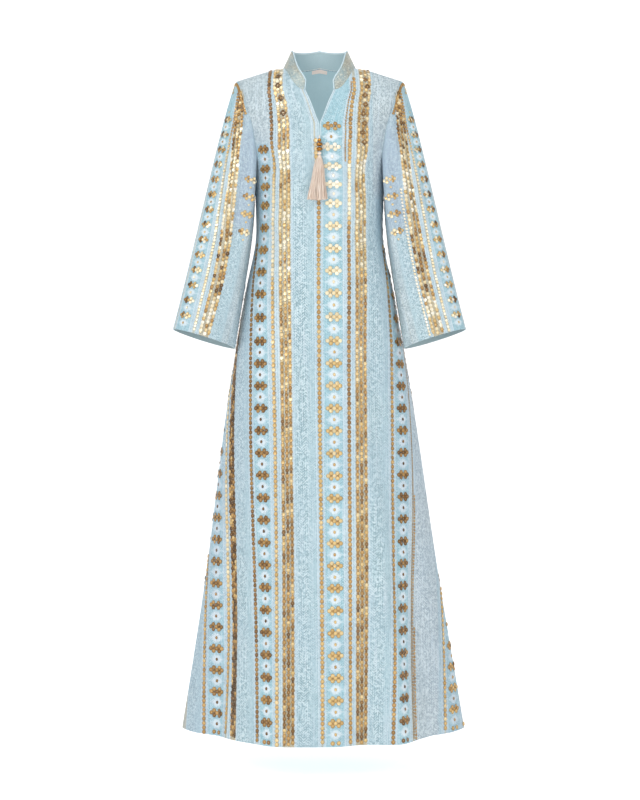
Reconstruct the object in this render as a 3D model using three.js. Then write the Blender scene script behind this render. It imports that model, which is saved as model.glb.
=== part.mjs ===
// A floor-length jalabiya, filled out as if worn: front and back panels, set-in sleeves, a stand
// collar over a slit neck, edgings, a neck label and a beaded tassel.
// Millimetres. +Z is up, the front faces -Y, and the origin is midway between the two points where the
// collar meets the shoulder seams, which is where the wearer's shoulders carry the garment.
// Right and left are the wearer's own, so the right sleeve is at -X.
import * as THREE from "three";

// Cloth and seams
const CLOTH = 1.8;
const BAND = 1.4;
const SEAM_GAP = 0.3;
const COLLAR_GAP = 0.5;
const SMALL_STEP = 0.01;

// Main levels and widths of the garment
const HEM = -1448;
const CHEST = -246;
const SHOULDER_START = -66;
const RIDGE = 38;
const NECK_HALF_WIDTH = 80;
const SHOULDER_SLOPE = 0.31;
const SHOULDER_LIFT = { height: 4, start: 80, end: 110 };
const SHOULDER_TIP = 181;
const HEM_DROOP = 11;
const HEM_DROOP_HEIGHT = 300;
const HEM_SWAY = 8;
const SWAY_START = -450;

// Half-width and depths in front of and behind the shoulder plane, from the hem to the shoulder ridge.
// Wing is 1 where a section is an ellipse, and more where its sides run out to the seams as wings.
const BODY_SECTIONS = [
  { level: HEM, halfWidth: 310, front: 175, frontWing: 1.9, back: 152, backWing: 1.6 },
  { level: -1100, halfWidth: 254, front: 148, frontWing: 1.7, back: 138, backWing: 1.4 },
  { level: -750, halfWidth: 206, front: 125, frontWing: 1.3, back: 122, backWing: 1.15 },
  { level: -488, halfWidth: 162, front: 104, frontWing: 1, back: 110, backWing: 1 },
  { level: -356, halfWidth: 139, front: 99, frontWing: 1, back: 99, backWing: 1 },
  { level: CHEST, halfWidth: 143, front: 116, frontWing: 1, back: 104, backWing: 1 },
  { level: -150, halfWidth: 164, front: 108, frontWing: 1, back: 112, backWing: 1 },
  { level: SHOULDER_START, halfWidth: 182, front: 76, frontWing: 1, back: 106, backWing: 1 },
  { level: RIDGE, halfWidth: 186, front: 64, frontWing: 1, back: 96, backWing: 1 },
];

// Soft folds of the skirt: turn and spread are degrees round the body. Out is how far each stands out
// at the hem, less than 0 in a trough, and top is the level where it begins.
const SKIRT_FOLDS = [
  { side: "front", turn: -50, spread: 9, out: -15, top: -600 },
  { side: "front", turn: -19, spread: 9, out: 15, top: -700 },
  { side: "front", turn: 15, spread: 7, out: -13, top: -900 },
  { side: "front", turn: 31, spread: 7, out: 22, top: -760 },
  { side: "front", turn: 51, spread: 8, out: -10, top: -600 },
  { side: "back", turn: -47, spread: 9, out: -22, top: -640 },
  { side: "back", turn: -24, spread: 9, out: 14, top: -760 },
  { side: "back", turn: 2, spread: 9, out: -14, top: -900 },
  { side: "back", turn: 24, spread: 8, out: 15, top: -760 },
  { side: "back", turn: 45, spread: 9, out: -24, top: -600 },
];

// Armhole edge, from the underarm (rise 0) to the shoulder tip (rise 1), as degrees round the body
const ARMHOLE = [
  { rise: 0, front: 90, back: 90 },
  { rise: 0.08, front: 74, back: 78 },
  { rise: 0.2, front: 62, back: 69 },
  { rise: 0.4, front: 60, back: 68 },
  { rise: 0.65, front: 65, back: 71 },
  { rise: 1, front: 76.7, back: 76.7 },
];

// Neck: the front corner of the collar, the back neck level, and the slit with its half-opening
const NECK_CORNER = { turn: 10.7, level: -58 };
const BACK_NECK_LEVEL = 5;
const NECK_ARC = 70;
const SHOULDER_ROUNDNESS = { front: 2, back: 3 };
const SLIT_END = -176;
const SLIT_OPENING = [
  { level: SLIT_END, half: 0 },
  { level: -165, half: 3.3 },
  { level: -136, half: 3.5 },
  { level: -120, half: 9.2 },
  { level: -94, half: 18 },
  { level: -75, half: 25.4 },
  { level: NECK_CORNER.level, half: 34 },
];

// Collar: rise is its height, lean how far its top stands in towards the neck, from front end to back
const COLLAR_ROWS = [
  { along: 0, rise: 19, lean: 5 },
  { along: 0.05, rise: 28, lean: 7 },
  { along: 0.12, rise: 32.5, lean: 9 },
  { along: 0.5, rise: 36.5, lean: 17 },
  { along: 0.75, rise: 36, lean: 11 },
  { along: 1, rise: 34.5, lean: 5 },
];

// Sleeve: cuff centre and half-sizes, and how far its edge slopes outward and forward
const CUFF = { x: 251, y: -45, z: -595, halfWidth: 71, halfDepth: 42, slope: 17, tilt: 7 };
const SLEEVE_REACH = { tip: 90, underarm: 370, cuff: 520 };
const SLEEVE_ARRIVE = { outMost: 0.26, outLeast: 0.11, forward: 0.12 };
const SLEEVE_LEAVE = { outMost: 0.7, outLeast: -0.07, bulge: 0.3, downLeast: 0.7 };
const ARMHOLE_GAP = 0.6;
const UNDERARM_CLEARANCE = 0.9;
const SLEEVE_FOLDS = [
  { turn: 62, spread: 15, depth: 5, middle: 0.3, reach: 0.24 },
  { turn: 112, spread: 17, depth: 6, middle: 0.42, reach: 0.26 },
  { turn: 236, spread: 18, depth: 6, middle: 0.4, reach: 0.28 },
  { turn: 300, spread: 15, depth: 5, middle: 0.3, reach: 0.24 },
];

// Edgings, label and tassel
const EDGING = { width: 2.6, height: 2.6, sides: 6 };
const LABEL = { across: 0.95, foot: 0.5, head: 0.94, thickness: 0.6, gap: 0.5 };
const CORD_RADIUS = 0.9;
const CORD_TOP = -162;
const BEAD_Y = -120.6;
const BEADS = [
  { name: "bead_round", radius: 3.9, half: 3.7, z: -173.5 },
  { name: "bead_upper_rondelle", radius: 7, half: 4.2, z: -182.1 },
  { name: "bead_lower_rondelle", radius: 7.1, half: 4.3, z: -192.3 },
];
const TASSEL_HEAD = { radius: 4.3, half: 3.6, z: -201.2 };
const TASSEL_SKIRT_TOP = -205.3;
const TASSEL_SKIRT = [
  { drop: 0, wide: 2.2, deep: 2.2, x: 0.6, y: BEAD_Y },
  { drop: 9, wide: 7, deep: 4.2, x: -0.6, y: -121 },
  { drop: 28, wide: 11.5, deep: 5, x: -1.8, y: -122.3 },
  { drop: 52, wide: 14.5, deep: 5.8, x: -2.6, y: -123.6 },
  { drop: 74, wide: 18.5, deep: 6.8, x: -3.4, y: -124.2 },
  { drop: 96, wide: 22.6, deep: 8, x: -4.2, y: -124.4 },
];

// Grid sizes, for half a panel or a whole sleeve
const HALF_COLUMNS = 14;
const SKIRT_ROWS = 10;
const YOKE_ROWS = 14;
const NECK_STEPS = 6;
const SLIT_STEPS = 6;
const SLIT_EASE = 1.3;
const SHOULDER_COLUMN = NECK_STEPS / HALF_COLUMNS;
const NECK_ROW = 1 - NECK_STEPS / YOKE_ROWS;
const SLIT_ROW = NECK_ROW - SLIT_STEPS / YOKE_ROWS;
const SLEEVE_COLUMNS = 2 * YOKE_ROWS;
const SLEEVE_ROWS = 9;
const COLLAR_COLUMNS = 4 * NECK_STEPS;
const COLLAR_GRID_ROWS = 2;

const radians = THREE.MathUtils.degToRad;
const lerp = THREE.MathUtils.lerp;
const smoothstep = THREE.MathUtils.smoothstep;

// A smooth curve without overshoot through one column of a table, whose rows rise along `key`.
function curveThrough(rows, key, column) {
  const x = rows.map((row) => row[key]);
  const y = rows.map((row) => row[column]);
  const rise = x.slice(1).map((value, i) => (y[i + 1] - y[i]) / (value - x[i]));
  const slope = x.map((_, i) => {
    if (i === 0) return rise[0];
    if (i === rise.length) return rise[i - 1];
    const product = rise[i - 1] * rise[i];
    return product <= 0 ? 0 : (2 * product) / (rise[i - 1] + rise[i]);
  });
  return (at) => {
    const i = Math.max(0, x.findLastIndex((value, k) => value <= at && k < rise.length));
    const width = x[i + 1] - x[i];
    const t = THREE.MathUtils.clamp((at - x[i]) / width, 0, 1);
    const start = y[i] * (1 + 2 * t) * (1 - t) ** 2 + width * slope[i] * t * (1 - t) ** 2;
    return start + y[i + 1] * t * t * (3 - 2 * t) + width * slope[i + 1] * t * t * (t - 1);
  };
}

const halfWidthAt = curveThrough(BODY_SECTIONS, "level", "halfWidth");
const depthAt = {
  front: curveThrough(BODY_SECTIONS, "level", "front"),
  back: curveThrough(BODY_SECTIONS, "level", "back"),
};
const wingAt = {
  front: curveThrough(BODY_SECTIONS, "level", "frontWing"),
  back: curveThrough(BODY_SECTIONS, "level", "backWing"),
};
const armholeTurn = {
  front: curveThrough(ARMHOLE, "rise", "front"),
  back: curveThrough(ARMHOLE, "rise", "back"),
};
const slitHalf = curveThrough(SLIT_OPENING, "level", "half");
const collarRise = curveThrough(COLLAR_ROWS, "along", "rise");
const collarLean = curveThrough(COLLAR_ROWS, "along", "lean");

// Degrees round the body at which it is `x` away from the centre line.
function turnOf(x, level) {
  return THREE.MathUtils.radToDeg(Math.asin(x / halfWidthAt(level)));
}

function slitTurn(level) {
  return turnOf(slitHalf(level), level);
}

// The outward normal of a surface `at(a, b)`, turned to point along `guide`.
function normalOf(at, a, b, guide) {
  const across = at(a + SMALL_STEP, b).sub(at(a - SMALL_STEP, b));
  const up = at(a, b + SMALL_STEP).sub(at(a, b - SMALL_STEP));
  const normal = across.cross(up).normalize();
  return normal.dot(guide) < 0 ? normal.negate() : normal;
}

// How far the skirt's folds stand out at one place.
function foldHeight(side, turn, level) {
  return SKIRT_FOLDS.filter((fold) => fold.side === side).reduce((sum, fold) => {
    const grown = smoothstep(fold.top - level, 0, fold.top - HEM);
    return sum + fold.out * grown * Math.exp(-(((turn - fold.turn) / fold.spread) ** 2));
  }, 0);
}

// The height of the shoulder seam above the neck points.
function ridgeHeight(x) {
  const lift = SHOULDER_LIFT.height * smoothstep(x, SHOULDER_LIFT.start, SHOULDER_LIFT.end);
  return SHOULDER_SLOPE * (NECK_HALF_WIDTH - x) + lift;
}

// A point of the body's outer surface. Turn is degrees from the centre line towards +X. Level is the
// height, and from SHOULDER_START to RIDGE it runs over the rounded shoulder to the shoulder seam.
function bodyPoint(side, turn, level) {
  const outward = side === "front" ? -1 : 1;
  const angle = radians(turn);
  const capAngle = (Math.max(0, (level - SHOULDER_START) / (RIDGE - SHOULDER_START)) * Math.PI) / 2;
  const halfWidth = halfWidthAt(level);
  const depth = depthAt[side](level) * Math.max(0, Math.cos(angle)) ** wingAt[side](level);
  const x = halfWidth * Math.sin(angle);
  if (capAngle > 0) {
    const rise = Math.min(1, Math.sin(capAngle));
    const roundness = SHOULDER_ROUNDNESS[side];
    const fullness = Math.max(0, 1 - rise ** roundness) ** (1 / roundness);
    const covered = capAngle > Math.PI / 2 ? -depth * fullness : depth * fullness;
    const z = SHOULDER_START + (ridgeHeight(Math.abs(x)) - SHOULDER_START) * rise;
    return new THREE.Vector3(x, outward * (SEAM_GAP / 2 + covered), z);
  }
  const out = foldHeight(side, turn, level);
  const facing = new THREE.Vector2(Math.sin(angle) / halfWidth, Math.cos(angle) / depthAt[side](level));
  facing.normalize();
  const droop = Math.max(0, (HEM + HEM_DROOP_HEIGHT - level) / HEM_DROOP_HEIGHT) ** 2;
  return new THREE.Vector3(
    x + out * facing.x + HEM_SWAY * smoothstep(SWAY_START - level, 0, SWAY_START - HEM),
    outward * (SEAM_GAP / 2 + depth + out * facing.y),
    level - HEM_DROOP * droop * Math.max(0, Math.cos(angle)),
  );
}

// The outward normal of the body. Both panels give the same one at the seams that they share.
function bodyNormal(side, turn, level) {
  const at = (a, b) => bodyPoint(side, a, b);
  if (Math.abs(turn) >= 89) {
    const up = at(turn, level + SMALL_STEP).sub(at(turn, level - SMALL_STEP));
    return new THREE.Vector3(up.z, 0, -up.x).multiplyScalar(Math.sign(turn)).normalize();
  }
  if (level >= RIDGE) {
    return new THREE.Vector3(SHOULDER_SLOPE * Math.sign(turn), 0, 1).normalize();
  }
  const outward = side === "front" ? -1 : 1;
  const guide = new THREE.Vector3(Math.sin(radians(turn)), outward * Math.cos(radians(turn)), 0.4);
  return normalOf(at, turn, level, guide);
}

// The edge of half a panel's neckline, from the centre (along 0) to the shoulder seam (along 1).
function necklineAt(side, along) {
  const start = side === "front" ? NECK_CORNER : { turn: 0, level: BACK_NECK_LEVEL };
  const end = turnOf(NECK_HALF_WIDTH, RIDGE);
  const arc = radians(NECK_ARC);
  return {
    turn: lerp(start.turn, end, Math.sin(along * arc) / Math.sin(arc)),
    level: lerp(start.level, RIDGE, (1 - Math.cos(along * arc)) / (1 - Math.cos(arc))),
  };
}

// The edge of the front's half from the chest (0) up one side of the slit and the neckline (1).
function frontOpening(row) {
  if (row <= SLIT_ROW) return { turn: 0, level: lerp(CHEST, SLIT_END, row / SLIT_ROW) };
  if (row >= NECK_ROW) return necklineAt("front", (row - NECK_ROW) / (1 - NECK_ROW));
  const climbed = ((row - SLIT_ROW) / (NECK_ROW - SLIT_ROW)) ** SLIT_EASE;
  const level = lerp(SLIT_END, NECK_CORNER.level, climbed);
  return { turn: slitTurn(level), level };
}

// The four edges of half a panel above the chest, each a place on the body's surface.
function yokeEdges(side) {
  const tip = turnOf(SHOULDER_TIP, RIDGE);
  const neck = turnOf(NECK_HALF_WIDTH, RIDGE);
  const seam = (along) => ({ turn: lerp(neck, tip, along), level: RIDGE });
  const backTop = (column) =>
    column <= SHOULDER_COLUMN
      ? necklineAt("back", column / SHOULDER_COLUMN)
      : seam((column - SHOULDER_COLUMN) / (1 - SHOULDER_COLUMN));
  const backCentre = (row) => ({ turn: 0, level: lerp(CHEST, BACK_NECK_LEVEL, row) });
  return {
    bottom: (column) => ({ turn: 90 * column, level: CHEST }),
    top: side === "front" ? seam : backTop,
    centre: side === "front" ? frontOpening : backCentre,
    armhole: (row) => ({ turn: armholeTurn[side](row), level: lerp(CHEST, RIDGE, row) }),
  };
}

// A place inside the four edges, by a Coons patch.
function insideEdges(edges, column, row) {
  const at = (key) => {
    const rows = lerp(edges.bottom(column)[key], edges.top(column)[key], row);
    const columns = lerp(edges.centre(row)[key], edges.armhole(row)[key], column);
    const low = lerp(edges.bottom(0)[key], edges.bottom(1)[key], column);
    const high = lerp(edges.top(0)[key], edges.top(1)[key], column);
    return rows + columns - lerp(low, high, row);
  };
  return { turn: at("turn"), level: at("level") };
}

// Half a panel as two patches. Mirror is -1 for the half at -X.
function panelPatches(side, mirror) {
  const edges = yokeEdges(side);
  const place = ({ turn, level }) => ({
    point: bodyPoint(side, mirror * turn, level),
    normal: bodyNormal(side, mirror * turn, level),
  });
  return [
    {
      columns: HALF_COLUMNS,
      rows: SKIRT_ROWS,
      at: (column, row) => place({ turn: 90 * column, level: lerp(HEM, CHEST, row) }),
    },
    {
      columns: HALF_COLUMNS,
      rows: YOKE_ROWS,
      at: (column, row) => place(insideEdges(edges, column, row)),
    },
  ];
}

// A closed wall of even thickness behind the surface that the patches make together.
function wallGeometry(patches, thickness) {
  const outer = [];
  const inner = [];
  const known = new Map();
  const triangles = [];
  const indexOf = ({ point, normal }) => {
    const key = point.toArray().map((value) => Math.round(value * 100)).join();
    if (!known.has(key)) {
      known.set(key, outer.length);
      outer.push({ point, normal });
      inner.push(point.clone().addScaledVector(normal, -thickness));
    }
    return known.get(key);
  };
  const addTriangle = (a, b, c) => {
    if (a === b || b === c || c === a) return;
    const [p, q, r] = [a, b, c].map((i) => outer[i].point);
    const facing = q.clone().sub(p).cross(r.clone().sub(p));
    triangles.push(facing.dot(outer[a].normal) < 0 ? [a, c, b] : [a, b, c]);
  };
  for (const { columns, rows, at } of patches) {
    const grid = [];
    for (let row = 0; row <= rows; row++) {
      grid.push([]);
      for (let column = 0; column <= columns; column++) {
        grid[row].push(indexOf(at(column / columns, row / rows)));
      }
    }
    for (let row = 0; row < rows; row++) {
      for (let column = 0; column < columns; column++) {
        const [a, b] = [grid[row][column], grid[row][column + 1]];
        const [d, c] = [grid[row + 1][column], grid[row + 1][column + 1]];
        addTriangle(a, b, c);
        addTriangle(a, c, d);
      }
    }
  }
  const count = outer.length;
  const rim = [];
  const edges = new Set(triangles.flatMap(([a, b, c]) => [`${a},${b}`, `${b},${c}`, `${c},${a}`]));
  for (const edge of edges) {
    const [a, b] = edge.split(",").map(Number);
    if (!edges.has(`${b},${a}`)) rim.push([b, a, a + count], [b, a + count, b + count]);
  }
  const lining = triangles.map(([a, b, c]) => [c + count, b + count, a + count]);
  const points = [...outer.map((place) => place.point), ...inner];
  return geometryOf(points, [...triangles, ...lining, ...rim]);
}

function geometryOf(points, triangles) {
  const positions = points.flatMap((point) => point.toArray());
  const geometry = new THREE.BufferGeometry();
  geometry.setAttribute("position", new THREE.Float32BufferAttribute(positions, 3));
  geometry.setIndex(triangles.flat());
  geometry.computeVertexNormals();
  return geometry;
}

function armholeNormal(turn) {
  const side = turn <= 180 ? "front" : "back";
  const rise = Math.abs(1 - turn / 180);
  return bodyNormal(side, armholeTurn[side](rise), lerp(CHEST, RIDGE, rise));
}

// The armhole edge as a ring. Turn 0 is the shoulder tip, 90 the front, 180 the underarm, 270 the back.
function armholeRing(turn) {
  const side = turn <= 180 ? "front" : "back";
  const rise = Math.abs(1 - turn / 180);
  const at = (share) => bodyPoint(side, armholeTurn[side](share), lerp(CHEST, RIDGE, share));
  const point = at(rise);
  const normal = armholeNormal(turn);
  const along = at(Math.min(1, rise + SMALL_STEP)).sub(at(Math.max(0, rise - SMALL_STEP)));
  const away = along.cross(normal).normalize();
  if (away.dot(new THREE.Vector3(1, 0, rise < 0.05 ? 2 : 0)) < 0) away.negate();
  const clearance = UNDERARM_CLEARANCE * smoothstep(1 - rise, 0.5, 1);
  return point.addScaledVector(away, ARMHOLE_GAP).addScaledVector(normal, clearance);
}

function cuffRing(turn) {
  const outward = new THREE.Vector3(Math.cos(radians(CUFF.slope)), 0, Math.sin(radians(CUFF.slope)));
  const forward = new THREE.Vector3(0, -Math.cos(radians(CUFF.tilt)), Math.sin(radians(CUFF.tilt)));
  return new THREE.Vector3(CUFF.x, CUFF.y, CUFF.z)
    .addScaledVector(outward, CUFF.halfWidth * Math.cos(radians(turn)))
    .addScaledVector(forward, CUFF.halfDepth * Math.sin(radians(turn)));
}

// A point of the left sleeve's outer surface: turn is degrees round it, along runs armhole to cuff.
function sleevePoint(turn, along) {
  const wrapped = ((turn % 360) + 360) % 360;
  const outness = (1 + Math.cos(radians(wrapped))) / 2;
  const leave = new THREE.Vector3(
    lerp(SLEEVE_LEAVE.outLeast, SLEEVE_LEAVE.outMost, outness),
    -SLEEVE_LEAVE.bulge * Math.sin(radians(wrapped)),
    -lerp(1, SLEEVE_LEAVE.downLeast, outness),
  )
    .normalize()
    .multiplyScalar(lerp(SLEEVE_REACH.underarm, SLEEVE_REACH.tip, outness));
  const arrive = new THREE.Vector3(
    lerp(SLEEVE_ARRIVE.outLeast, SLEEVE_ARRIVE.outMost, outness),
    -SLEEVE_ARRIVE.forward,
    -1,
  )
    .normalize()
    .multiplyScalar(lerp(SLEEVE_REACH.underarm, SLEEVE_REACH.cuff, outness));
  const t = along;
  const drawn = SLEEVE_FOLDS.reduce((sum, fold) => {
    const across = Math.exp(-(((wrapped - fold.turn) / fold.spread) ** 2));
    return sum + fold.depth * across * Math.exp(-(((along - fold.middle) / fold.reach) ** 2));
  }, 0);
  const fade = smoothstep(along, 0, 0.12);
  const inward = new THREE.Vector3(
    -Math.cos(radians(wrapped)),
    Math.sin(radians(wrapped)),
    0,
  ).multiplyScalar(drawn * fade);
  return armholeRing(wrapped)
    .multiplyScalar((1 + 2 * t) * (1 - t) ** 2)
    .addScaledVector(leave, t * (1 - t) ** 2)
    .addScaledVector(cuffRing(wrapped), t * t * (3 - 2 * t))
    .addScaledVector(arrive, t * t * (t - 1))
    .add(inward);
}

function sleevePatch(mirror) {
  const flip = new THREE.Vector3(mirror, 1, 1);
  const at = (column, row) => {
    const turn = 360 * column;
    const [outness, frontness] = [Math.cos(radians(turn)), Math.sin(radians(turn))];
    const guide = new THREE.Vector3(outness, -frontness, 0.2 * outness);
    const along = THREE.MathUtils.clamp(row, SMALL_STEP, 1 - SMALL_STEP);
    const normal = normalOf(sleevePoint, turn, along, guide);
    if (row === 0) normal.lerp(armholeNormal(turn), smoothstep(outness, -0.5, 0.5));
    return { point: sleevePoint(turn, row).multiply(flip), normal: normal.normalize().multiply(flip) };
  };
  return { columns: SLEEVE_COLUMNS, rows: SLEEVE_ROWS, at };
}

// The neckline as one curve from the wearer's left front corner (0) round the back to the right one (2).
function neckPoint(along) {
  const half = along <= 1 ? along : 2 - along;
  const place =
    half <= 0.5 ? necklineAt("front", half * 2) : necklineAt("back", 2 - half * 2);
  const side = half <= 0.5 ? "front" : "back";
  const mirror = along <= 1 ? 1 : -1;
  return bodyPoint(side, mirror * place.turn, place.level);
}

// A point of the collar: up runs from the neck seam to its top edge, inset is how far inside it lies.
function collarPoint(along, up, inset) {
  const half = along <= 1 ? along : 2 - along;
  const base = neckPoint(along);
  const outward = new THREE.Vector3(base.x, base.y, 0).normalize();
  const rise = up * collarRise(half) + COLLAR_GAP;
  return base
    .addScaledVector(outward, -up * collarLean(half) - inset)
    .add(new THREE.Vector3(0, 0, rise));
}

function collarPatch(inset) {
  const at = (column, row) => {
    const along = 2 * column;
    const outward = collarPoint(along, 0, 0).setZ(0);
    const surface = (a, b) => collarPoint(THREE.MathUtils.clamp(a, 0, 2), b, inset);
    const normal = normalOf(surface, along, row, outward);
    return { point: collarPoint(along, row, inset), normal };
  };
  return { columns: COLLAR_COLUMNS, rows: COLLAR_GRID_ROWS, at };
}

// A solid bar through rings of points, with flat ends.
function barGeometry(rings) {
  const sides = rings[0].length;
  const points = rings.flat();
  const triangles = [];
  for (let ring = 0; ring < rings.length - 1; ring++) {
    for (let side = 0; side < sides; side++) {
      const next = (side + 1) % sides;
      const [a, b] = [ring * sides + side, ring * sides + next];
      triangles.push([a, b, b + sides], [a, b + sides, a + sides]);
    }
  }
  const last = (rings.length - 1) * sides;
  for (let side = 1; side < sides - 1; side++) {
    triangles.push([0, side + 1, side], [last, last + side, last + side + 1]);
  }
  return geometryOf(points, triangles);
}

// Rings of an edging that follows places along an edge, each with the way out past the edge.
function edgingRings(places) {
  return places.map(({ point, out, normal }) => {
    const centre = point
      .clone()
      .addScaledVector(out, SEAM_GAP + EDGING.width / 2)
      .addScaledVector(normal, -CLOTH / 2);
    return Array.from({ length: EDGING.sides }, (_, side) => {
      const angle = (side / EDGING.sides) * 2 * Math.PI;
      return centre
        .clone()
        .addScaledVector(out, (Math.cos(angle) * EDGING.width) / 2)
        .addScaledVector(normal, (Math.sin(angle) * EDGING.height) / 2);
    });
  });
}

// The edge of one side of the slit, straight between the panel's own points, counted from its foot.
function slitEdge(mirror, step) {
  const low = Math.min(Math.floor(step), SLIT_STEPS - 1);
  const [from, to] = [low, low + 1].map((whole) => {
    const { turn, level } = frontOpening(lerp(SLIT_ROW, NECK_ROW, whole / SLIT_STEPS));
    return bodyPoint("front", mirror * turn, level);
  });
  return from.lerp(to, step - low);
}

function slitEdging(mirror) {
  const steps = [0.95, 1.5, 2, 2.5, 3, 3.5, 4, 4.5, 5, 5.5, 5.95];
  const places = steps.map((step) => {
    const point = slitEdge(mirror, step);
    const normal = bodyNormal("front", mirror * slitTurn(point.z), point.z);
    const along = slitEdge(mirror, Math.min(step + 0.5, SLIT_STEPS)).sub(slitEdge(mirror, step - 0.5));
    const out = along.cross(normal).normalize();
    if (out.x * mirror > 0) out.negate();
    return { point, normal, out };
  });
  const rings = edgingRings(places);
  return barGeometry(mirror > 0 ? rings : rings.map((ring) => ring.toReversed()));
}

// The collar's edging starts at the foot of one front end, rounds its corner and follows the top edge.
function collarEdging() {
  const endRows = 3;
  const topColumns = COLLAR_COLUMNS;
  const path = [];
  for (let row = 0; row < endRows; row++) path.push({ along: 0, up: row / endRows });
  for (let column = 0; column <= topColumns; column++) {
    path.push({ along: (2 * column) / topColumns, up: 1 });
  }
  for (let row = endRows - 1; row >= 0; row--) path.push({ along: 2, up: row / endRows });
  const middle = BAND + COLLAR_GAP / 2 - CLOTH / 2;
  const pointAt = ({ along, up }) => collarPoint(along, up, middle);
  const places = path.map((place, i) => {
    const before = pointAt(path[Math.max(0, i - 1)]);
    const after = pointAt(path[Math.min(path.length - 1, i + 1)]);
    const point = pointAt(place);
    const normal = new THREE.Vector3(point.x, point.y, 0).normalize();
    const along = after.sub(before).normalize();
    normal.addScaledVector(along, -normal.dot(along)).normalize();
    const out = normal.clone().cross(along).normalize();
    return { point, normal, out };
  });
  return barGeometry(edgingRings(places));
}

// The label lies on the inside of the back, on the two facets of the panel under the collar seam.
function labelPatch() {
  const corner = (column, row) => {
    const { turn, level } = insideEdges(yokeEdges("back"), column / HALF_COLUMNS, row / YOKE_ROWS);
    return bodyPoint("back", turn, level);
  };
  const at = (column, row) => {
    const [side, across] = [Math.sign(column - 0.5) || 1, Math.abs(2 * column - 1) * LABEL.across];
    const up = lerp(LABEL.foot, LABEL.head, row);
    const [low, high] = [YOKE_ROWS - 1, YOKE_ROWS].map((whole) =>
      corner(0, whole).lerp(corner(1, whole), across),
    );
    const middle = corner(0, YOKE_ROWS).sub(corner(0, YOKE_ROWS - 1));
    const normal = new THREE.Vector3(0, middle.z, -middle.y).normalize();
    const point = low.lerp(high, up).addScaledVector(normal, -CLOTH - LABEL.gap);
    return { point: point.multiply(new THREE.Vector3(side, 1, 1)), normal };
  };
  return { columns: 4, rows: 2, at };
}

// The cord comes off the slit's edging, turns down and passes through the beads to the tassel's head.
function tasselCord() {
  const clear = CORD_RADIUS + SEAM_GAP + (EDGING.height - CLOTH) / 2;
  const start = new THREE.Vector3(0, bodyPoint("front", 0, CORD_TOP).y - clear, CORD_TOP);
  const bend = new THREE.Vector3(0, BEAD_Y, BEADS[0].z + BEADS[0].half + CORD_RADIUS);
  const end = new THREE.Vector3(0, BEAD_Y, TASSEL_HEAD.z + TASSEL_HEAD.half + SEAM_GAP);
  const path = new THREE.CurvePath();
  const corner = new THREE.Vector3(0, BEAD_Y, CORD_TOP - CORD_RADIUS);
  path.add(new THREE.QuadraticBezierCurve3(start, corner, bend));
  path.add(new THREE.LineCurve3(bend, end));
  const section = new THREE.Shape().absarc(0, 0, CORD_RADIUS, 0, 2 * Math.PI);
  const options = { steps: 16, curveSegments: 6, bevelEnabled: false, extrudePath: path };
  return new THREE.ExtrudeGeometry(section, options);
}

// A bead turned about Z, with a bore that the cord passes through.
function beadGeometry({ radius, half }) {
  const bore = CORD_RADIUS + 0.4;
  const rounds = 6;
  const profile = [new THREE.Vector2(bore, -half * 0.8)];
  for (let step = 0; step <= rounds; step++) {
    const angle = lerp(-70, 70, step / rounds);
    const out = (Math.cos(radians(angle)) - Math.cos(radians(70))) / (1 - Math.cos(radians(70)));
    profile.push(
      new THREE.Vector2(
        lerp(bore + 0.6, radius, out),
        (half * Math.sin(radians(angle))) / Math.sin(radians(70)),
      ),
    );
  }
  profile.push(new THREE.Vector2(bore, half * 0.8), new THREE.Vector2(bore, -half * 0.8));
  return new THREE.LatheGeometry(profile, 12);
}

function tasselHeadGeometry() {
  const { radius, half } = TASSEL_HEAD;
  const profile = [-90, -60, -30, 0, 30, 60, 90].map(
    (angle) => new THREE.Vector2(radius * Math.cos(radians(angle)), half * Math.sin(radians(angle))),
  );
  return new THREE.LatheGeometry(profile, 12);
}

// The threads' whole reach, round at the top and flattened against the cloth towards its cut end.
function tasselSkirtGeometry() {
  const sides = 16;
  const rings = TASSEL_SKIRT.map(({ drop, wide, deep, x, y }) =>
    Array.from({ length: sides }, (_, side) => {
      const angle = (-side / sides) * 2 * Math.PI;
      return new THREE.Vector3(
        x + wide * Math.cos(angle),
        y + deep * Math.sin(angle),
        TASSEL_SKIRT_TOP - drop,
      );
    }),
  );
  return barGeometry(rings);
}

const finishes = {
  striped: new THREE.MeshStandardMaterial({ color: 0xb9dbe4, roughness: 0.62, metalness: 0.05 }),
  beaded: new THREE.MeshStandardMaterial({ color: 0xb8c4c0, roughness: 0.5, metalness: 0.2 }),
  plain: new THREE.MeshStandardMaterial({ color: 0x9dbfca, roughness: 0.8, metalness: 0 }),
  edging: new THREE.MeshStandardMaterial({ color: 0xc4e2ea, roughness: 0.7, metalness: 0 }),
  label: new THREE.MeshStandardMaterial({ color: 0xcdbcae, roughness: 0.8, metalness: 0 }),
  gold: new THREE.MeshStandardMaterial({ color: 0xb9823c, roughness: 0.25, metalness: 0.9 }),
  silk: new THREE.MeshStandardMaterial({ color: 0xdcc5b2, roughness: 0.5, metalness: 0 }),
};

const jalabiya = new THREE.Group();
function addPiece(name, geometry, finish, place = [0, 0, 0]) {
  const piece = new THREE.Mesh(geometry, finishes[finish]);
  piece.name = name;
  piece.position.set(...place);
  jalabiya.add(piece);
}

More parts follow.
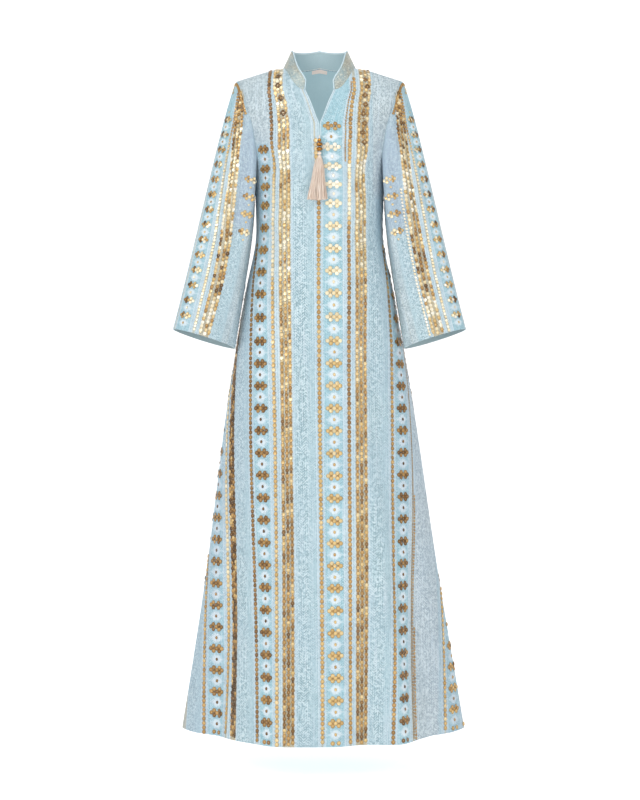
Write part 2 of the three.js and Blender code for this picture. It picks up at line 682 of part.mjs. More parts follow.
for (const side of ["front", "back"]) {
  const patches = [...panelPatches(side, 1), ...panelPatches(side, -1)];
  addPiece(`${side}_panel`, wallGeometry(patches, CLOTH), "striped");
}
addPiece("sleeve_left", wallGeometry([sleevePatch(1)], CLOTH), "striped");
addPiece("sleeve_right", wallGeometry([sleevePatch(-1)], CLOTH), "striped");
addPiece("collar_outer", wallGeometry([collarPatch(0)], BAND), "beaded");
addPiece("collar_inner", wallGeometry([collarPatch(BAND + COLLAR_GAP)], BAND), "plain");
addPiece("collar_edging", collarEdging(), "edging");
addPiece("slit_edging_left", slitEdging(1), "edging");
addPiece("slit_edging_right", slitEdging(-1), "edging");
addPiece("neck_label", wallGeometry([labelPatch()], LABEL.thickness), "label");
addPiece("tassel_cord", tasselCord(), "silk");
for (const bead of BEADS) {
  const geometry = beadGeometry(bead).rotateX(Math.PI / 2);
  addPiece(bead.name, geometry, "gold", [0, BEAD_Y, bead.z]);
}
addPiece("tassel_head", tasselHeadGeometry().rotateX(Math.PI / 2), "silk", [0, BEAD_Y, TASSEL_HEAD.z]);
addPiece("tassel_skirt", tasselSkirtGeometry(), "silk");

export default jalabiya;
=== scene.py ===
"""Looks of a floor-length striped jalabiya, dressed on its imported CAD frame.

The garment's form is worked out in millimetres, as its cut was drawn, and the meshes are in
metres. +Z is up, the front faces -Y, and right and left are the wearer's own.
"""

import logging
import math
import random
from dataclasses import dataclass, field
from enum import Enum
from typing import Callable, Sequence, Union

import bpy
import numpy as np
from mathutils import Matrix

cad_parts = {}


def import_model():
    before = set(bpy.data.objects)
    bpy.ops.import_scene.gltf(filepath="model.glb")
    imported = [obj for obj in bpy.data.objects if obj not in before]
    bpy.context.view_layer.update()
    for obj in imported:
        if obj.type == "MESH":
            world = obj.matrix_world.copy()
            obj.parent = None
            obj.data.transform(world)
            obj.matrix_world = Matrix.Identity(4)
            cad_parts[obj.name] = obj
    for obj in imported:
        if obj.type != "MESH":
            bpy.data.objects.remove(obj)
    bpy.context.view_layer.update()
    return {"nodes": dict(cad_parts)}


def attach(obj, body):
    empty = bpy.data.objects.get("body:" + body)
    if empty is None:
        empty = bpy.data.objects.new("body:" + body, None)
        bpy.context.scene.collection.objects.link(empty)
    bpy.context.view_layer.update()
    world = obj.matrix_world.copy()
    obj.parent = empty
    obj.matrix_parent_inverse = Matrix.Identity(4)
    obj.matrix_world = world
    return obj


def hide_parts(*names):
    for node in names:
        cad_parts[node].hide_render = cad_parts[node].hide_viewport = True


LOG = logging.getLogger("jalabiya")
MM = 0.001
SEAM_GAP = 0.3
CAMERA_AWAY = 4000
CAMERA_LEVEL = -728
PHOTO_MIDDLE_ROW = 400
PHOTO_FOCUS = 1818.18
Array = np.ndarray
Material = bpy.types.Material
Socket = bpy.types.NodeSocket
Feed = Union[Socket, float, tuple, None]


class Side(Enum):
    """The two halves of the body."""

    FRONT = "front"
    BACK = "back"


class Slot(Enum):
    """Material slots of the new pieces, as the record names them."""

    STRIPED = "striped_cloth"
    COLLAR = "collar_cloth"
    PLAIN = "plain_cloth"
    EDGING = "edging"
    SILK = "tassel_silk"
    SEQUINS = "sequins"


class Stripe(Enum):
    """Kinds of sequin stripe in one repeat of the cloth."""

    LINE = "line"
    THIRD = "third"
    WIDE = "wide"
    FLOWER = "flower"


LINE, THIRD, WIDE, FLOWER = Stripe


def ease(value: Array, low: float, high: float) -> Array:
    """Rises smoothly from 0 at low to 1 at high.

    Args:
        value: Values to ease.
        low: Where the rise starts.
        high: Where it ends, which may be below low.

    Returns:
        The eased share, from 0 to 1.
    """
    share = np.clip((np.asarray(value, float) - low) / (high - low), 0, 1)
    return share * share * (3 - 2 * share)


def blend(start: Array, end: Array, share: Array) -> Array:
    """A share of the way from start to end."""
    return start + (end - start) * share


def unit(vectors: Array) -> Array:
    """The vectors, each at length 1."""
    return vectors / np.maximum(np.linalg.norm(vectors, axis=-1, keepdims=True), 1e-9)


def towards(vectors: Array, guide: Array) -> Array:
    """The vectors, turned round where they point away from the guide."""
    return vectors * np.where((vectors * guide).sum(-1) < 0, -1, 1)[..., None]


def across_stripes(laid: Array, marks: Sequence[Array], stripes: Sequence[float]) -> Array:
    """Places across the cloth of places that lie between the marks of its stripes.

    Args:
        laid: Distances round the piece.
        marks: The distance of each stripe's edge at those places.
        stripes: Where those edges are across the cloth.

    Returns:
        Millimetres across the cloth.
    """
    before = laid - marks[0] + stripes[0]
    across = np.where(laid < marks[0], before, laid - marks[-1] + stripes[-1])
    for k in range(len(stripes) - 1):
        share = (laid - marks[k]) / (marks[k + 1] - marks[k])
        inside = (share >= 0) & (share < 1)
        across = np.where(inside, blend(stripes[k], stripes[k + 1], share), across)
    return across


def add_piece(name: str, mesh: bpy.types.Mesh, *finishes: Material) -> bpy.types.Object:
    """Puts a mesh in the scene, at the origin.

    Args:
        name: The piece's name.
        mesh: Its mesh.
        finishes: Its materials, in the order of its slots.

    Returns:
        The new object.
    """
    for finish in finishes:
        mesh.materials.append(finish)
    piece = bpy.data.objects.new(name, mesh)
    bpy.context.scene.collection.objects.link(piece)
    return piece


def curve_through(rows: Sequence[Sequence[float]], column: int) -> Callable[[Array], Array]:
    """A smooth curve without overshoot through one column of a table.

    Args:
        rows: The table, whose first column rises.
        column: The column that the curve passes through.

    Returns:
        A function from the first column's values to the other's.
    """
    table = np.array(rows, float)
    x, y = table[:, 0], table[:, column]
    rise = np.diff(y) / np.diff(x)
    slope = np.concatenate([rise[:1], np.zeros(len(rise) - 1), rise[-1:]])
    for i in range(1, len(rise)):
        if rise[i - 1] * rise[i] > 0:
            slope[i] = 2 * rise[i - 1] * rise[i] / (rise[i - 1] + rise[i])

    def at(value: Array) -> Array:
        """The curve's height at each value.

        Args:
            value: Values of the first column.

        Returns:
            The curve's heights there.
        """
        value = np.asarray(value, float)
        i = np.clip(np.searchsorted(x, value, side="right") - 1, 0, len(rise) - 1)
        width = x[i + 1] - x[i]
        t = np.clip((value - x[i]) / width, 0, 1)
        start = (y[i] * (1 + 2 * t) + width * slope[i] * t) * (1 - t) ** 2
        return start + y[i + 1] * t * t * (3 - 2 * t) + width * slope[i + 1] * t * t * (t - 1)

    return at


def lookup(rows: Array, columns: Array, table: Array, row: Array, column: Array) -> Array:
    """Reads a table between its entries.

    Args:
        rows: Evenly spaced values down the table.
        columns: Evenly spaced values across it.
        table: The entries.
        row: Values to read at, down the table.
        column: Values to read at, across it.

    Returns:
        The blended entries.
    """
    r = np.clip((row - rows[0]) / (rows[1] - rows[0]), 0, len(rows) - 1.000001)
    c = np.clip((column - columns[0]) / (columns[1] - columns[0]), 0, len(columns) - 1.000001)
    i, j = r.astype(int), c.astype(int)
    a, b = r - i, c - j
    top = table[i, j] * (1 - b) + table[i, j + 1] * b
    return top * (1 - a) + (table[i + 1, j] * (1 - b) + table[i + 1, j + 1] * b) * a


@dataclass(frozen=True)
class Crease:
    """A soft ridge, or a trough where height is below 0, from one place to another."""

    x0: float
    z0: float
    x1: float
    z1: float
    width: float
    height: float

    def at(self, x: Array, z: Array) -> Array:
        """Height of the crease at places of the piece, fading towards both its ends.

        Args:
            x: Places across the piece, or round it.
            z: Places up or along it.

        Returns:
            The heights, in millimetres.
        """
        dx, dz = self.x1 - self.x0, self.z1 - self.z0
        length = math.hypot(dx, dz)
        along = ((x - self.x0) * dx + (z - self.z0) * dz) / length**2
        away = ((x - self.x0) * dz - (z - self.z0) * dx) / length
        starts, finishes = ease(along, -0.15, 0.3), ease(along, 1.15, 0.7)
        return self.height * starts * finishes * np.exp(-((away / self.width) ** 2))


@dataclass(frozen=True)
class Fold:
    """A long fold of the skirt, by its turn and spread in degrees round the body."""

    turn: float
    spread: float
    out: float
    top: float


@dataclass(frozen=True)
class BodyForm:
    """The outer surface of the worn body, from the hem to the shoulder seams."""

    hem: float = -1448
    chest: float = -246
    shoulder_start: float = -66
    ridge: float = 38
    neck_half: float = 80
    slope: float = 0.31
    tip: float = 181
    slit_end: float = -176
    corner_turn: float = 10.7
    corner_level: float = -58
    back_neck: float = 5
    neck_arc: float = 70
    lift: float = 4
    droop: float = 11
    droop_rise: float = 300
    sway: float = 8
    sway_top: float = -450
    sections: tuple = (
        (-1448, 310, 175, 1.9, 152, 1.6),
        (-1100, 254, 148, 1.7, 138, 1.4),
        (-750, 206, 125, 1.3, 122, 1.15),
        (-488, 162, 104, 1, 110, 1),
        (-356, 139, 99, 1, 99, 1),
        (-246, 143, 116, 1, 104, 1),
        (-150, 164, 108, 1, 112, 1),
        (-66, 182, 76, 1, 106, 1),
        (38, 186, 64, 1, 96, 1),
    )
    front_folds: tuple = (
        Fold(-50, 9, -15, -600),
        Fold(-19, 9, 15, -700),
        Fold(15, 7, -13, -900),
        Fold(31, 7, 22, -760),
        Fold(51, 8, -10, -600),
    )
    back_folds: tuple = (
        Fold(-47, 9, -22, -640),
        Fold(-24, 9, 14, -760),
        Fold(2, 9, -14, -900),
        Fold(24, 8, 15, -760),
        Fold(45, 9, -24, -600),
    )
    armhole: tuple = (
        (0, 90, 90),
        (0.08, 74, 78),
        (0.2, 62, 69),
        (0.4, 60, 68),
        (0.65, 65, 71),
        (1, 76.7, 76.7),
    )
    slit: tuple = (
        (-176, 0),
        (-165, 3.3),
        (-136, 3.5),
        (-120, 9.2),
        (-94, 18),
        (-75, 25.4),
        (-58, 34),
    )
    curves: dict = field(default_factory=dict)

    def __post_init__(self) -> None:
        """Prepares the curves through the tables."""
        self.curves["half"] = curve_through(self.sections, 1)
        for side, column in ((Side.FRONT, 2), (Side.BACK, 4)):
            self.curves["depth", side] = curve_through(self.sections, column)
            self.curves["wing", side] = curve_through(self.sections, column + 1)
        self.curves["armhole", Side.FRONT] = curve_through(self.armhole, 1)
        self.curves["armhole", Side.BACK] = curve_through(self.armhole, 2)
        self.curves["slit"] = curve_through(self.slit, 1)

    def point(self, side: Side, turn: Array, level: Array) -> Array:
        """Points of the surface.

        Args:
            side: Front or back.
            turn: Degrees from the centre line towards +X.
            level: Height, which runs over the rounded shoulder above shoulder_start.

        Returns:
            The points, in millimetres.
        """
        turn, level = np.broadcast_arrays(np.asarray(turn, float), np.asarray(level, float))
        outward = -1 if side is Side.FRONT else 1
        angle = np.radians(turn)
        cosine = np.maximum(0, np.cos(angle))
        half = self.curves["half"](level)
        whole = self.curves["depth", side](level)
        depth = whole * cosine ** self.curves["wing", side](level)
        x = half * np.sin(angle)
        cap = np.maximum(0, (level - self.shoulder_start) / (self.ridge - self.shoulder_start))
        cap = cap * math.pi / 2
        rise = np.minimum(1, np.sin(np.minimum(cap, math.pi / 2)))
        roundness = 2 if side is Side.FRONT else 3
        fullness = np.maximum(0, 1 - rise**roundness) ** (1 / roundness)
        covered = depth * fullness * np.where(cap > math.pi / 2, -1, 1)
        lift = self.lift * ease(np.abs(x), self.neck_half, self.neck_half + 30)
        top = self.slope * (self.neck_half - np.abs(x)) + lift
        over = np.stack(
            [
                x,
                outward * (SEAM_GAP / 2 + covered),
                self.shoulder_start + (top - self.shoulder_start) * rise,
            ],
            -1,
        )
        out = np.zeros_like(x)
        for fold in self.front_folds if side is Side.FRONT else self.back_folds:
            grown = ease(fold.top - level, 0, fold.top - self.hem)
            out = out + fold.out * grown * np.exp(-(((turn - fold.turn) / fold.spread) ** 2))
        facing = unit(np.stack([np.sin(angle) / half, np.cos(angle) / whole], -1))
        low = np.maximum(0, (self.hem - level) / self.droop_rise + 1)
        droop = self.droop * low**2
        sway = self.sway * ease(self.sway_top - level, 0, self.sway_top - self.hem)
        below = np.stack(
            [
                x + out * facing[..., 0] + sway,
                outward * (SEAM_GAP / 2 + depth + out * facing[..., 1]),
                level - droop * cosine,
            ],
            -1,
        )
        return np.where((cap > 0)[..., None], over, below)

    def normal(self, side: Side, turn: Array, level: Array) -> Array:
        """Outward normals of the surface at places of it.

        Args:
            side: Front or back.
            turn: Degrees from the centre line towards +X.
            level: Heights.

        Returns:
            The normals.
        """
        turn, level = np.broadcast_arrays(np.asarray(turn, float), np.asarray(level, float))
        step = 0.02
        across = self.point(side, turn + step, level) - self.point(side, turn - step, level)
        up = self.point(side, turn, level + step) - self.point(side, turn, level - step)
        outward = -1 if side is Side.FRONT else 1
        angle = np.radians(turn)
        guide = np.stack([np.sin(angle), outward * np.cos(angle), np.full_like(angle, 0.4)], -1)
        normal = towards(unit(np.cross(across, up)), guide)
        seam = unit(np.stack([up[..., 2], np.zeros_like(angle), -up[..., 0]], -1))
        seam = seam * np.sign(turn)[..., None]
        normal = np.where((np.abs(turn) >= 89)[..., None], seam, normal)
        over = np.stack(
            [self.slope * np.sign(turn), np.zeros_like(angle), np.ones_like(angle)], -1
        )
        return np.where((level >= self.ridge - 0.01)[..., None], unit(over), normal)

    def turn_of(self, x: Array, level: Array) -> Array:
        """Degrees round the body at which it is x from the centre line."""
        return np.degrees(np.arcsin(np.clip(x / self.curves["half"](level), -1, 1)))

    def neckline(self, side: Side, along: Array) -> tuple[Array, Array]:
        """Turn and level of half a neckline, from the centre (0) to the shoulder (1).

        Args:
            side: Front or back.
            along: Shares of the half neckline.

        Returns:
            The turns and the levels.
        """
        front = side is Side.FRONT
        turn = self.corner_turn if front else 0.0
        level = self.corner_level if front else self.back_neck
        arc = math.radians(self.neck_arc)
        end = self.turn_of(self.neck_half, self.ridge)
        across = np.sin(along * arc) / math.sin(arc)
        climbed = (1 - np.cos(along * arc)) / (1 - math.cos(arc))
        return blend(turn, end, across), blend(level, self.ridge, climbed)


@dataclass(frozen=True)
class Patch:
    """A grid of places on a piece's outer surface."""

    points: Array
    normals: Array
    fabric: Array
    tint_and_painted_light: Array


@dataclass(frozen=True)
class Shell:
    """A closed wall of even thickness behind patches that meet edge to edge."""

    name: str
    patches: tuple[Patch, ...]
    thickness: float

    def build(self, outside: Material, inside: Material) -> bpy.types.Object:
        """Builds the wall.

        Args:
            outside: Finish of the outer surface and the cut edges.
            inside: Finish of the inner surface.

        Returns:
            The new object, in metres.
        """
        points = np.concatenate([p.points.reshape(-1, 3) for p in self.patches])
        normals = np.concatenate([p.normals.reshape(-1, 3) for p in self.patches])
        fabric = np.concatenate([p.fabric.reshape(-1, 2) for p in self.patches])
        tint_and_painted_light = np.concatenate([p.tint_and_painted_light.reshape(-1, 3) for p in self.patches])
        keys = np.round(points * 100).astype(np.int64)
        _, first, merged = np.unique(keys, axis=0, return_index=True, return_inverse=True)
        merged = merged.reshape(-1).tolist()
        count = len(first)
        outer, edges = [], {}
        for quad in self._quads(points, normals).tolist():
            corners = {}
            for source in quad:
                corners.setdefault(merged[source], source)
            if len(corners) > 2:
                outer.append(list(corners.items()))
        for face in outer:
            for (a, s), (b, t) in zip(face, face[1:] + face[:1]):
                edges[a, b] = (s, t)
        rims = [
            [(b, t), (a, s), (a + count, s), (b + count, t)]
            for (a, b), (s, t) in edges.items()
            if (b, a) not in edges
        ]
        lining = [[(a + count, s) for a, s in reversed(face)] for face in outer]
        faces = outer + rims + lining
        vertices = np.concatenate([points[first], points[first] - normals[first] * self.thickness])
        mesh = bpy.data.meshes.new(self.name)
        mesh.from_pydata((vertices * MM).tolist(), [], [[a for a, _ in face] for face in faces])
        piece = add_piece(self.name, mesh, outside, inside)
        finish = [0] * (len(outer) + len(rims)) + [1] * len(lining)
        mesh.polygons.foreach_set("material_index", finish)
        layer = mesh.uv_layers.new(name="fabric")
        flat = np.array([source for face in faces for _, source in face])
        layer.data.foreach_set("uv", fabric[flat].astype(np.float32).ravel())
        # Shares of pale, lavender and deep at each point: pale is partly a painted sheen, and deep
        # is painted shade.
        colour = mesh.attributes.new("tint_and_painted_light", "FLOAT_COLOR", "POINT")
        shades = np.concatenate([tint_and_painted_light[first], np.ones((count, 1))], axis=1)
        colour.data.foreach_set("color", np.tile(shades, (2, 1)).astype(np.float32).ravel())
        mesh.shade_smooth()
        mesh.set_sharp_from_angle(angle=math.radians(55))
        return piece

    def _quads(self, points: Array, normals: Array) -> Array:
        """The patches' quads as corner numbers, all facing outwards.

        Args:
            points: Points of all the patches.
            normals: Their normals.

        Returns:
            The corner numbers.
        """
        quads, start = [], 0
        for patch in self.patches:
            rows, columns = patch.points.shape[:2]
            grid = np.arange(rows * columns).reshape(rows, columns) + start
            start += rows * columns
            corners = (grid[:-1, :-1], grid[:-1, 1:], grid[1:, 1:], grid[1:, :-1])
            quads.append(np.stack(corners, -1).reshape(-1, 4))
        quads = np.concatenate(quads)
        across = points[quads[:, 2]] - points[quads[:, 0]]
        other = points[quads[:, 3]] - points[quads[:, 1]]
        facing = (np.cross(across, other) * normals[quads].sum(1)).sum(-1)
        return np.where((facing < 0)[:, None], quads[:, ::-1], quads)


@dataclass(frozen=True)
class StripeLayout:
    """Widths across one repeat of the striped cloth, and its pitches down the cloth."""

    period: float
    flower_pitch: float
    flower: float = 0.19
    line: float = 0.398
    wide: float = 0.561
    column: float = 0.056
    line_steps: float = 4.8
    wide_steps: float = 3.86
    # Lean darkens one half of each flower and lightens the other: painted shade and highlight
    # across the sleeve's curve.
    lean: float = 0.0
    dot: float = 1.15


BODY_CLOTH = StripeLayout(period=155, flower_pitch=48)
SLEEVE_CLOTH = StripeLayout(period=121, flower_pitch=33.9, column=0.069, lean=0.22, dot=0.7)


class PanelCloth:
    """How the striped cloth lies on the front or the back."""

    LEVELS = np.linspace(-1448, 38, 200)
    TURNS = np.linspace(0, 90, 91)
    STRIPES = (
        *(-310, -280, -248, -237, -210, -155, -125.5, -93, -68),
        *(0, 29.5, 62, 87, 155, 184.5, 217, 310),
    )
    SHIFTS = (
        (-1433, 4, 7, 5, 11, 2, 8, 4, -5, -5.5, -3.5, -4.5, -2, -1.5, -2, -2, -2, 10),
        (-1025, 6, 12, 14, 10, 0, -2, -4, -5.5, -4, -3, -3, -1.5, 0, 9, 13, 8, 8),
        (-610, 4, 6, 6, 8, -2, -6, -10, -10, -6, -3.5, 1, 0, 3, 14, 15, 10, 4),
        (-461, 2, 2, 2, 6, -4, -6, -12, -12, -8, -4, 0, 2, 6, 12, 13, 8, 0),
        (-332, 0, 0, 0, 5, -4, -5, -6, -13, -9, -3.5, 0, 3, 7, 12, 12, 8, 0),
        (-225, 0, 0, 0, 0, 0, -5, -4, -12, -9, -3.5, 1, 4, 7, 12, 12, 8, 0),
        (-150, 0, 0, 0, 0, 0, -6, -6, -12, -8, -4, -4, 6, 10, 11, 11, 8, 0),
        (-86, 0, 0, 0, 0, 0, -8, -9, -12, -9, -4, -1, 3, 8, 11, 11, 8, 0),
        (-39, 0, 0, 0, 0, 0, -8, -9, -11, -15, -4, 0, 1, 8, 11, 11, 8, 0),
        (38, 0, 0, 0, 0, 0, -9, -9, -11, -16, -4, 0, 0, 8, 11, 11, 8, 0),
    )
    PHOTO_ROWS = (93, 126, 146.8, 166.3, 184.1, 203, 225.9, 293, 340.8, 543.5, 745.5, 762)
    FLOWERS = (-1.64, 0, 1, 2, 3, 4, 5, 8, 10, 19, 28, 28.75)
    SHOULDER_PITCH = 43

    def __init__(self, body: BodyForm, side: Side) -> None:
        """Measures the cloth round and down the body.

        Args:
            body: The body's form.
            side: Front or back.
        """
        self.body = body
        self.side = side
        turns, levels = np.meshgrid(self.TURNS, self.LEVELS)
        self.across = {}
        for mirror in (-1, 1):
            points = body.point(side, mirror * turns, levels)
            steps = np.linalg.norm(np.diff(points, axis=1), axis=-1)
            self.across[mirror] = np.concatenate(
                [np.zeros((len(self.LEVELS), 1)), np.cumsum(steps, axis=1)], axis=1
            )
        self.down = self._rows_down()

    def _rows_down(self) -> Array:
        """Repeats of the flower at each level, counted from the first one.

        Returns:
            The repeats.
        """
        front = self.body.point(Side.FRONT, 8.0, self.LEVELS)
        seen = (front[:, 2] - CAMERA_LEVEL) / (front[:, 1] + CAMERA_AWAY)
        down = np.interp(PHOTO_MIDDLE_ROW - PHOTO_FOCUS * seen, self.PHOTO_ROWS, self.FLOWERS)
        over = self.body.point(self.side, 30.0, self.LEVELS)
        lengths = np.linalg.norm(np.diff(over, axis=0), axis=-1)
        start = int(np.searchsorted(self.LEVELS, self.body.shoulder_start))
        for i in range(start, len(self.LEVELS)):
            down[i] = down[i - 1] - lengths[i - 1] / self.SHOULDER_PITCH
        return down

    def place(self, turn: Array, level: Array) -> Array:
        """Fabric coordinates of places on the body.

        Args:
            turn: Degrees round the body.
            level: Heights.

        Returns:
            Millimetres across from the centre, and repeats down, in the last axis.
        """
        turn, level = np.broadcast_arrays(turn, level)
        distance = np.where(
            turn < 0,
            lookup(self.LEVELS, self.TURNS, self.across[-1], level, np.abs(turn)),
            lookup(self.LEVELS, self.TURNS, self.across[1], level, np.abs(turn)),
        )
        across = self._fabric(np.where(turn < 0, -1, 1), distance, level)
        return np.stack([across, np.interp(level, self.LEVELS, self.down)], -1)

    def _fabric(self, mirror: Array, distance: Array, level: Array) -> Array:
        """Millimetres across the cloth at a distance from the centre line.

        Args:
            mirror: -1 on the right half and 1 on the left.
            distance: Millimetres round the body.
            level: Heights.

        Returns:
            Millimetres across the cloth.
        """
        if self.side is Side.BACK:
            return mirror * distance
        slid = self.body.curves["slit"](level) * ease(level, -177, -160)
        drawn = slid * np.exp(-np.maximum(0, distance - slid) / 45)
        slide = blend(-2.0, 5.5, ease(level, -300, -180)) * np.exp(-distance / 40)
        laid = mirror * (distance - drawn) + slide
        table = np.array(self.SHIFTS, float)
        stripes = np.array(self.STRIPES, float)
        marks = [
            stripe + np.interp(level, table[:, 0], table[:, k + 1])
            for k, stripe in enumerate(stripes)
        ]
        return across_stripes(laid, marks, stripes)

    def find(self, across: Array, down: Array) -> tuple[Array, Array, Array]:
        """Places on the body of places on the cloth.

        Args:
            across: Millimetres across the cloth.
            down: Repeats down it.

        Returns:
            Their turns and levels, and whether each was found.
        """
        level = np.interp(-down, -self.down, self.LEVELS)
        turns = np.linspace(-90, 90, 241)
        rows = self.place(turns[None, :], level[:, None])[..., 0]
        rows = np.maximum.accumulate(rows, axis=1)
        index = np.clip((rows < across[:, None]).sum(1), 1, len(turns) - 1)
        line = np.arange(len(across))
        low, high = rows[line, index - 1], rows[line, index]
        share = np.clip((across - low) / np.maximum(high - low, 1e-6), 0, 1)
        found = (across > rows[:, 0]) & (across < rows[:, -1])
        return turns[index - 1] + share * (turns[1] - turns[0]), level, found


@dataclass
class BodyPanels:
    """The front and back panels."""

    body: BodyForm
    thickness: float = 1.8
    columns: int = 60
    skirt_rows: int = 96
    yoke_rows: int = 84
    yoke_halves: tuple = (104, 114)
    yoke_foot: float = -165
    yoke_drop: float = 110
    plain_strip: tuple = (225, 296)
    slit_share: float = 2 / 14
    corner_share: float = 8 / 14
    back_neck_share: float = 3 / 7
    front_creases: tuple = (
        (-14, -150, -60, -112, 7, -2.2),
        (12, -158, 30, -128, 5, 2.4),
        (16, -172, 44, -150, 6, -2.0),
        (-112, -150, -60, -215, 16, 3.5),
        (-118, -190, -70, -262, 15, -3.5),
        (112, -160, 66, -222, 17, 3.4),
        (116, -205, 72, -290, 16, -3.6),
        (-100, -330, -40, -395, 20, 2.6),
        (96, -350, 34, -402, 20, -2.4),
        (-74, -480, -92, -900, 16, -3.0),
        (-34, -520, -44, -980, 15, 2.6),
        (60, -460, 78, -860, 16, 3.0),
        (104, -520, 140, -980, 18, -3.4),
        (20, -700, 26, -1200, 15, -2.6),
        (-130, -640, -176, -1180, 20, 3.2),
        (-128, -40, -96, -112, 12, -2.0),
        (132, -44, 104, -120, 12, -2.2),
    )
    back_creases: tuple = (
        (-110, -140, -54, -210, 16, 3.4),
        (-112, -196, -64, -280, 16, -3.4),
        (108, -150, 58, -228, 17, 3.5),
        (112, -210, 70, -300, 16, -3.5),
        (-60, -300, 40, -352, 20, -3.0),
        (-40, -380, 66, -420, 20, 2.6),
        (-70, -480, -96, -960, 17, 3.0),
        (-20, -540, -12, -1040, 15, -2.8),
        (44, -500, 62, -930, 16, 2.8),
        (100, -560, 134, -1000, 18, -3.2),
        (-14, -60, 8, -170, 18, -2.0),
        (-126, -60, -98, -130, 13, -2.0),
        (124, -58, 100, -126, 13, -2.2),
    )

    def build(
        self, side: Side, outside: Material, inside: Material
    ) -> tuple[bpy.types.Object, PanelCloth]:
        """Builds one panel.

        Args:
            side: Front or back.
            outside: Finish of its face.
            inside: Finish of its inside.

        Returns:
            The panel, and how its cloth lies.
        """
        cloth = PanelCloth(self.body, side)
        patches = []
        for mirror in (1, -1):
            column = np.linspace(0, 1, self.columns + 1)
            rows = np.linspace(0, 1, self.skirt_rows + 1)[:, None]
            level = blend(self.body.hem, self.body.chest, rows)
            patches.append(self._patch(cloth, mirror * 90 * column, level))
            row = np.linspace(0, 1, self.yoke_rows + 1)[:, None]
            turn, level = self._yoke(side, column, row)
            patches.append(self._patch(cloth, mirror * turn, level))
        shell = Shell(f"{side.value}_panel_cloth", tuple(patches), self.thickness)
        return shell.build(outside, inside), cloth

    def surface(self, side: Side, turn: Array, level: Array) -> tuple[Array, Array]:
        """Points and normals of a panel with its creases.

        Args:
            side: Front or back.
            turn: Degrees round the body.
            level: Heights.

        Returns:
            The points and the normals of the form under them.
        """
        body = self.body
        points = body.point(side, turn, level)
        normals = body.normal(side, turn, level)
        limit, inner = self.outer_edge(side, level), self.inner_edge(side, level)
        fade = ease(limit - np.abs(turn), 0, 9) * ease(body.ridge - level, 0, 22)
        fade = fade * np.where(inner > 0, ease(np.abs(turn) - inner, 0, 5), 1)
        height = np.zeros(np.shape(points)[:-1])
        for crease in self.front_creases if side is Side.FRONT else self.back_creases:
            height = height + Crease(*crease).at(points[..., 0], points[..., 2])
        return points + normals * (height * fade)[..., None], normals

    def outer_edge(self, side: Side, level: Array) -> Array:
        """Turn of the side seam or the armhole at each level."""
        rise = (level - self.body.chest) / (self.body.ridge - self.body.chest)
        return np.where(rise > 0, self.body.curves["armhole", side](rise), 90.0)

    def inner_edge(self, side: Side, level: Array) -> Array:
        """Turn of the slit's or the neckline's edge at each level, and 0 below them.

        Args:
            side: Front or back.
            level: Heights.

        Returns:
            The turns.
        """
        body = self.body
        share = np.linspace(0, 1, 60)
        turns, levels = body.neckline(side, share)
        edge = np.where(level >= levels[0], np.interp(level, levels, turns), 0.0)
        if side is Side.FRONT:
            slit = body.turn_of(body.curves["slit"](level), level)
            edge = np.where((level > body.slit_end) & (level < levels[0]), slit, edge)
        return edge

    def covers(self, side: Side, turn: Array, level: Array, margin: float) -> Array:
        """Whether places lie on a panel, so many millimetres inside its cut edges.

        Args:
            side: Front or back.
            turn: Degrees round the body.
            level: Heights.
            margin: The millimetres.

        Returns:
            True where a place is clear of every edge.
        """
        body = self.body
        half = body.curves["half"](level)
        limit, inner = self.outer_edge(side, level), self.inner_edge(side, level)
        slack = np.degrees(margin / half)
        aside = slack / np.maximum(0.25, np.cos(np.radians(np.minimum(limit, 80))))
        clear = np.abs(turn) < limit - np.where(level > body.chest, slack * 1.2, 0.6)
        clear &= np.where(inner > 0, np.abs(turn) > inner + aside * 0.6, True)
        neck = body.neckline(side, np.linspace(0, 1, 60))[1][0]
        near = (level > neck - margin) & (level <= neck) & (side is Side.BACK)
        clear &= ~(near & (np.abs(turn) < 12))
        return clear & (level > body.hem + 4) & (level < body.ridge - 4)

    def _patch(self, cloth: PanelCloth, turn: Array, level: Array) -> Patch:
        """One patch of half a panel, with its creases.

        Args:
            cloth: How the panel's cloth lies.
            turn: Degrees round the body.
            level: Heights.

        Returns:
            The patch.
        """
        turn, level = np.broadcast_arrays(turn, level)
        points, normals = self.surface(cloth.side, turn, level)
        fabric = cloth.place(turn, level)
        tint_and_painted_light = self._tint_and_painted_light(points, fabric, cloth.side)
        return Patch(points, normals, fabric / (BODY_CLOTH.period, 1), tint_and_painted_light)

    def _tint_and_painted_light(self, points: Array, fabric: Array, side: Side) -> Array:
        """Shades: plain pale shoulders, partly a painted sheen where they face up, a lavender cast,
        and deeper sides, which are painted shade.

        Args:
            points: Places on the panel.
            fabric: The same places on the cloth.
            side: Front or back.

        Returns:
            Shares of pale, lavender and deep, in the last axis.
        """
        x, z = points[..., 0], points[..., 2]
        above = z - self.body.chest
        inner = np.where((x < 0) | (side is Side.BACK), *self.yoke_halves)
        yoke = ease(np.where(x < 0, z, z + self.yoke_drop), self.yoke_foot - 20, self.yoke_foot)
        # Pale shoulders: the plain cloth, partly a painted sheen where they face up.
        pale = yoke * ease(np.abs(x), inner, inner + 3)
        cast = 0.5 * ease(np.abs(x) / (150 - 0.12 * above), 0.55, 0.95) * ease(z, -60, -220)
        # Deep is painted shade, darkening the body's sides.
        deep = 0.3 * ease(np.abs(x) / (150 - 0.13 * above), 0.8, 1.05) * ease(z, -100, -200)
        if side is Side.FRONT:
            across = fabric[..., 0]
            start, end = self.plain_strip
            plain = ease(across, start, start + 4) * ease(across, end, end - 4)
            pale = np.maximum(pale, plain * ease(z, -300, -420))
        return np.stack([pale, cast, deep], -1)

